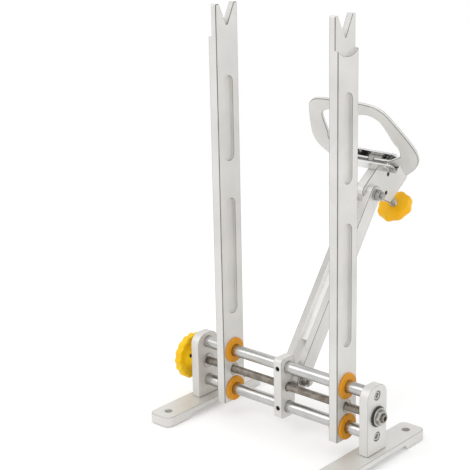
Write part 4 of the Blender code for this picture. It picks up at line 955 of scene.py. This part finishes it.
def make_caliper_knob():
    """The small lobed knob: flat above, dished below."""
    top, foot = STUD_END, STUD_END - 9
    rim = [(0.2, 17.2, 0.85), (0.7, 18.3, 1), (1.5, 19.0, 1), (2.6, 19.3, 1)]
    upper_face = [(0, 6.2, 0), (0, 12, 0.1), (0, 15.6, 0.6)]
    lower_face = [(0, 15.8, 0.6), (0.2, 13.5, 0.2), (0.6, 11, 0), (0.6, 4, 0)]
    levels = moved(upper_face + rim, top, -1) + moved(rim[::-1] + lower_face, foot, 1)
    knob = skin(lobed_rings(levels, 8, 0.7, "z", STUD_LINE, 20))
    knob = combine(knob, [bar(SCREW_R + PRESS, foot + 3, top + 6, "z", STUD_LINE)])
    finish_piece(knob, "caliper_knob_body", ["caliper_knob"], "small_knob", HEAD,
                 sharp=40)


def make_pusher():
    """The block that the screw lifts against the calipers' tails."""
    half, front, back, low, high = 8, 22.8, 35.2, 16.9, 19.7
    pusher = slab(box(-half, half, front, back, 1.2, step=15), low, high, "z", 0.3)
    pusher = combine(pusher, [bar(M6_R + RUN, 10, 30, "z", STUD_LINE)])
    finish_piece(pusher, "pusher", ["caliper_pusher"], "zinc", HEAD)


def caliper_outline():
    """The right caliper arm seen from the front, measured from its pin."""
    tip, tail_end, tail_low, lobe = -19.5, -16.8, -0.3, 15.0
    outer = through([(tip, 76.5), (tip + 1.5, 81.2), (-12, 85), (-3, 86.1), (9, 85.2), (16.2, 83.6),
                     (21.7, 80), (27, 73.6), (34.5, 55.5), (40.6, 38.1), (43.2, 26.8), (42.5, 15.9),
                     (38, 6.5), (28.4, -4.2), (lobe + 1.5, -13.5)], 10)
    inner = through([(20.7, 14.9), (23.1, 26.3), (20, 36.3), (18, 51.2), (14.9, 63.4), (9.9, 68.3),
                     (3.1, 71.1), (-5.3, 70.3), (-9.2, 69.5), (tip + 4, 71.2), (tip, 73.5)], 10)
    boss = arc((0, 0), 4, 285, 205, 10)
    tail = [(tail_end + 6.2, tail_low), (tail_end, tail_low), (tail_end, tail_low + 4)]
    return outer + [(lobe, -5.3), (lobe, 0.3)] + boss + tail + [(-2, 4), (3, 4.6)] + inner


def make_caliper(side, label):
    """One caliper arm."""
    outline = [(side * (x + PIN_X), z + PIN_Z) for x, z in caliper_outline()]
    arm = slab(outline, *CALIPER_FACES, "y", 0.5)
    arm = combine(arm, [bar(PIN_R + RUN, 20, 34, "y", (side * PIN_X, PIN_Z))])
    body = label + "_caliper_body"
    # its chamfered edges take the dark paint, as painted shade
    finish_plate(arm, body, [label + "_caliper"], "aluminium_edge_shade", place=HEAD)


def make_caliper_pin(side, label):
    """The pin of a caliper arm, with a domed head at both ends."""
    dome = ((1.2, 2.4), (0.95, 3.2), (0.5, 3.6), (0, 3.6), (0, PIN_R))
    front, back = BRACKET_OUT[0] - GAP, BRACKET_OUT[1] + GAP
    profile = [(front - rise, radius) for rise, radius in dome]
    profile += [(back + rise, radius) for rise, radius in reversed(dome)]
    pin = turned(profile, "y", (side * PIN_X, PIN_Z), 40)
    finish_piece(pin, "head", [label + "_caliper_pin"], "bracket", HEAD)


def spring_path(side):
    """The closing spring's wire: a leg on the web, curls round the pin, a leg along the arm."""
    radius, curls, per, leg = 3.6, 3, 24, 9
    first = CALIPER_FACES[1] + GAP + SPRING_WIRE + 0.1
    last = BRACKET_IN[1] - GAP - SPRING_WIRE
    bottom = PIN_Z - radius
    x = side * PIN_X
    points = [(x - side * leg, last, bottom), (x - side * leg / 2, last, bottom)]
    for i in range(curls * per + 1):
        t = tau * i / per
        points.append((x + side * radius * sin(t), last + (first - last) * i / (curls * per),
                       PIN_Z - radius * cos(t)))
    points.append((x + side * leg / 2, first, bottom + 0.9))
    points.append((x + side * leg, first, bottom + 1.8))
    return points


def wire(points, radius, sides):
    """A round wire along points."""
    path = [Vector(p) for p in points]
    angles = [tau * k / sides for k in range(sides)]
    rings = []
    normal = Vector((0, 1, 0))
    for i, point in enumerate(path):
        ahead = (path[min(i + 1, len(path) - 1)] - path[max(i - 1, 0)]).normalized()
        normal = (normal - ahead * normal.dot(ahead)).normalized()
        across = ahead.cross(normal)
        rings.append([point + radius * (normal * cos(t) + across * sin(t))
                      for t in angles])
    return skin(rings)


def make_spring(side, label):
    """The spring that closes one caliper arm."""
    spring = wire(spring_path(side), SPRING_WIRE, 10)
    finish_piece(spring, "head", [label + "_caliper_spring"], "spring", HEAD, sharp=60)


def make_head():
    """The head plate, bracket, screw, knob, pusher, springs and caliper arms."""
    make_head_plate()
    for centre, level in HEAD_GRUBS:
        form = grub(1, HEAD_HALF - 0.4, -0.7, HEAD_GRUB_R, centre, "x")
        finish_piece(form, "head", [level + "_head_set_screw"], "oxide", HEAD)
    make_bracket()
    make_bracket_screw()
    make_caliper_screw()
    make_screw_clip()
    make_caliper_knob()
    make_pusher()
    for side, label in SIDES:
        make_caliper(side, label)
        make_caliper_pin(side, label)
        make_spring(side, label)


def paint_foot_screws():
    """A finish for the foot screws, which keep their CAD meshes."""
    for _, label in SIDES:
        for end in ("front", "back"):
            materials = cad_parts[f"{label}_foot_{end}_screw"].data.materials
            materials.clear()
            materials.append(PAINTS["oxide"])


# Stage

def background_rays(tree):
    """1 for the rays that show the background: camera, glossy and transmission."""
    paths = tree.nodes.new("ShaderNodeLightPath")
    value = paths.outputs["Is Camera Ray"]
    for name in ("Is Glossy Ray", "Is Transmission Ray"):
        either = tree.nodes.new("ShaderNodeMath")
        either.operation = "MAXIMUM"
        tree.links.new(value, either.inputs[0])
        tree.links.new(paths.outputs[name], either.inputs[1])
        value = either.outputs["Value"]
    return value


def make_floor():
    """A pale floor that fades into the white background and keeps the stand's shadow."""
    radius, drop, fade_start, fade_end, lift_share = 9.0, 0.0005, 0.25, 1.2, 0.2
    bm = bmesh.new()
    bmesh.ops.create_circle(bm, cap_ends=True, segments=96, radius=radius)
    floor = mesh_object(bm, "floor")
    floor.location.z = -drop
    material, tree, shader = new_material("floor")
    set_inputs(shader, {"Base Color": (0.9, 0.9, 0.9, 1), "Roughness": 0.9, "Specular IOR Level": 0.1})
    coords = tree.nodes.new("ShaderNodeTexCoord")
    length = tree.nodes.new("ShaderNodeVectorMath")
    length.operation = "LENGTH"
    fade = tree.nodes.new("ShaderNodeMapRange")
    set_inputs(fade, {"From Min": fade_start, "From Max": fade_end})
    glow = tree.nodes.new("ShaderNodeEmission")
    lift = tree.nodes.new("ShaderNodeEmission")
    strength = tree.nodes.new("ShaderNodeMath")
    strength.operation = "MULTIPLY"
    strength.inputs[1].default_value = lift_share
    add = tree.nodes.new("ShaderNodeAddShader")
    mix = tree.nodes.new("ShaderNodeMixShader")
    tree.links.new(background_rays(tree), strength.inputs[0])
    link(tree, strength, "Value", lift, "Strength")
    link(tree, coords, "Object", length, 0)
    link(tree, length, "Value", fade, "Value")
    link(tree, fade, "Result", mix, "Fac")
    link(tree, shader, "BSDF", add, 0)
    link(tree, lift, "Emission", add, 1)
    link(tree, add, "Shader", mix, 1)
    link(tree, glow, "Emission", mix, 2)
    link(tree, mix, "Shader", tree.nodes["Material Output"], "Surface")
    floor.data.materials.append(material)


def make_world():
    """White behind the stand, and a soft grey-to-white sky as its light."""
    world = bpy.data.worlds.new("studio")
    bpy.context.scene.world = world
    world.use_nodes = True
    tree = world.node_tree
    sky = tree.nodes["Background"]
    white = tree.nodes.new("ShaderNodeBackground")
    white.inputs["Color"].default_value = (1, 1, 1, 1)
    coords = tree.nodes.new("ShaderNodeTexCoord")
    split = tree.nodes.new("ShaderNodeSeparateXYZ")
    grade = tree.nodes.new("ShaderNodeValToRGB")
    for stop, grey in zip(grade.color_ramp.elements, (0.5, 0.8)):
        stop.color = (grey, grey, grey, 1)
    up = tree.nodes.new("ShaderNodeMapRange")
    up.inputs["From Min"].default_value = -1
    mix = tree.nodes.new("ShaderNodeMixShader")
    link(tree, coords, "Generated", split, "Vector")
    link(tree, split, "Z", up, "Value")
    link(tree, up, "Result", grade, "Fac")
    link(tree, grade, "Color", sky, "Color")
    tree.links.new(background_rays(tree), mix.inputs["Fac"])
    link(tree, sky, "Background", mix, 1)
    link(tree, white, "Background", mix, 2)
    link(tree, mix, "Shader", tree.nodes["World Output"], "Surface")


def area(name, place, target, size, power):
    """A soft square lamp aimed at a point."""
    lamp = bpy.data.lights.new(name, "AREA")
    lamp.energy = power
    lamp.size = size
    holder = new_object(name, lamp)
    holder.location = place
    aim = Vector(target) - Vector(place)
    holder.rotation_euler = aim.to_track_quat("-Z", "Y").to_euler()


def make_camera():
    """The photograph's camera: seen from the front right, a little above the stand."""
    turn, rise, roll = radians(40.2), radians(16.89), radians(-0.56)
    target_height, distance = 0.2109, 1.22668
    back = Vector((cos(rise) * sin(turn), -cos(rise) * cos(turn),
                   sin(rise)))
    right = (-back).cross(Vector((0, 0, 1))).normalized()
    up = right.cross(-back)
    tilted = right * cos(roll) + up * sin(roll)
    upward = -right * sin(roll) + up * cos(roll)
    camera = bpy.data.cameras.new("camera")
    holder = new_object("camera", camera)
    matrix = Matrix((tilted, upward, back)).transposed().to_4x4()
    matrix.translation = SHIFT + Vector((0, 0, target_height)) + back * distance
    holder.matrix_world = matrix
    camera.sensor_width = 36
    camera.lens = 98.45
    camera.shift_x = -0.1024
    camera.shift_y = -0.0147
    bpy.context.scene.camera = holder


make_uprights()
make_feet()
make_rods()
make_lead_screw()
make_end_nut()
make_hand_knob()
make_hub_grub()
make_arm()
make_pivot("arm_pivot", 0)
make_pivot("head_pivot", ARM_LENGTH)
make_head()
paint_foot_screws()
make_floor()
make_world()
area("key", (-0.9, -1.5, 1.6), (0, 0, 0.2), 1.4, 10)
area("top", (0.1, 0.3, 2.2), (0, 0, 0.1), 1.2, 5)
area("fill", (1.7, -0.5, 0.8), (0, 0, 0.2), 1.6, 5)
make_camera()
bpy.context.scene.view_settings.view_transform = "Standard"
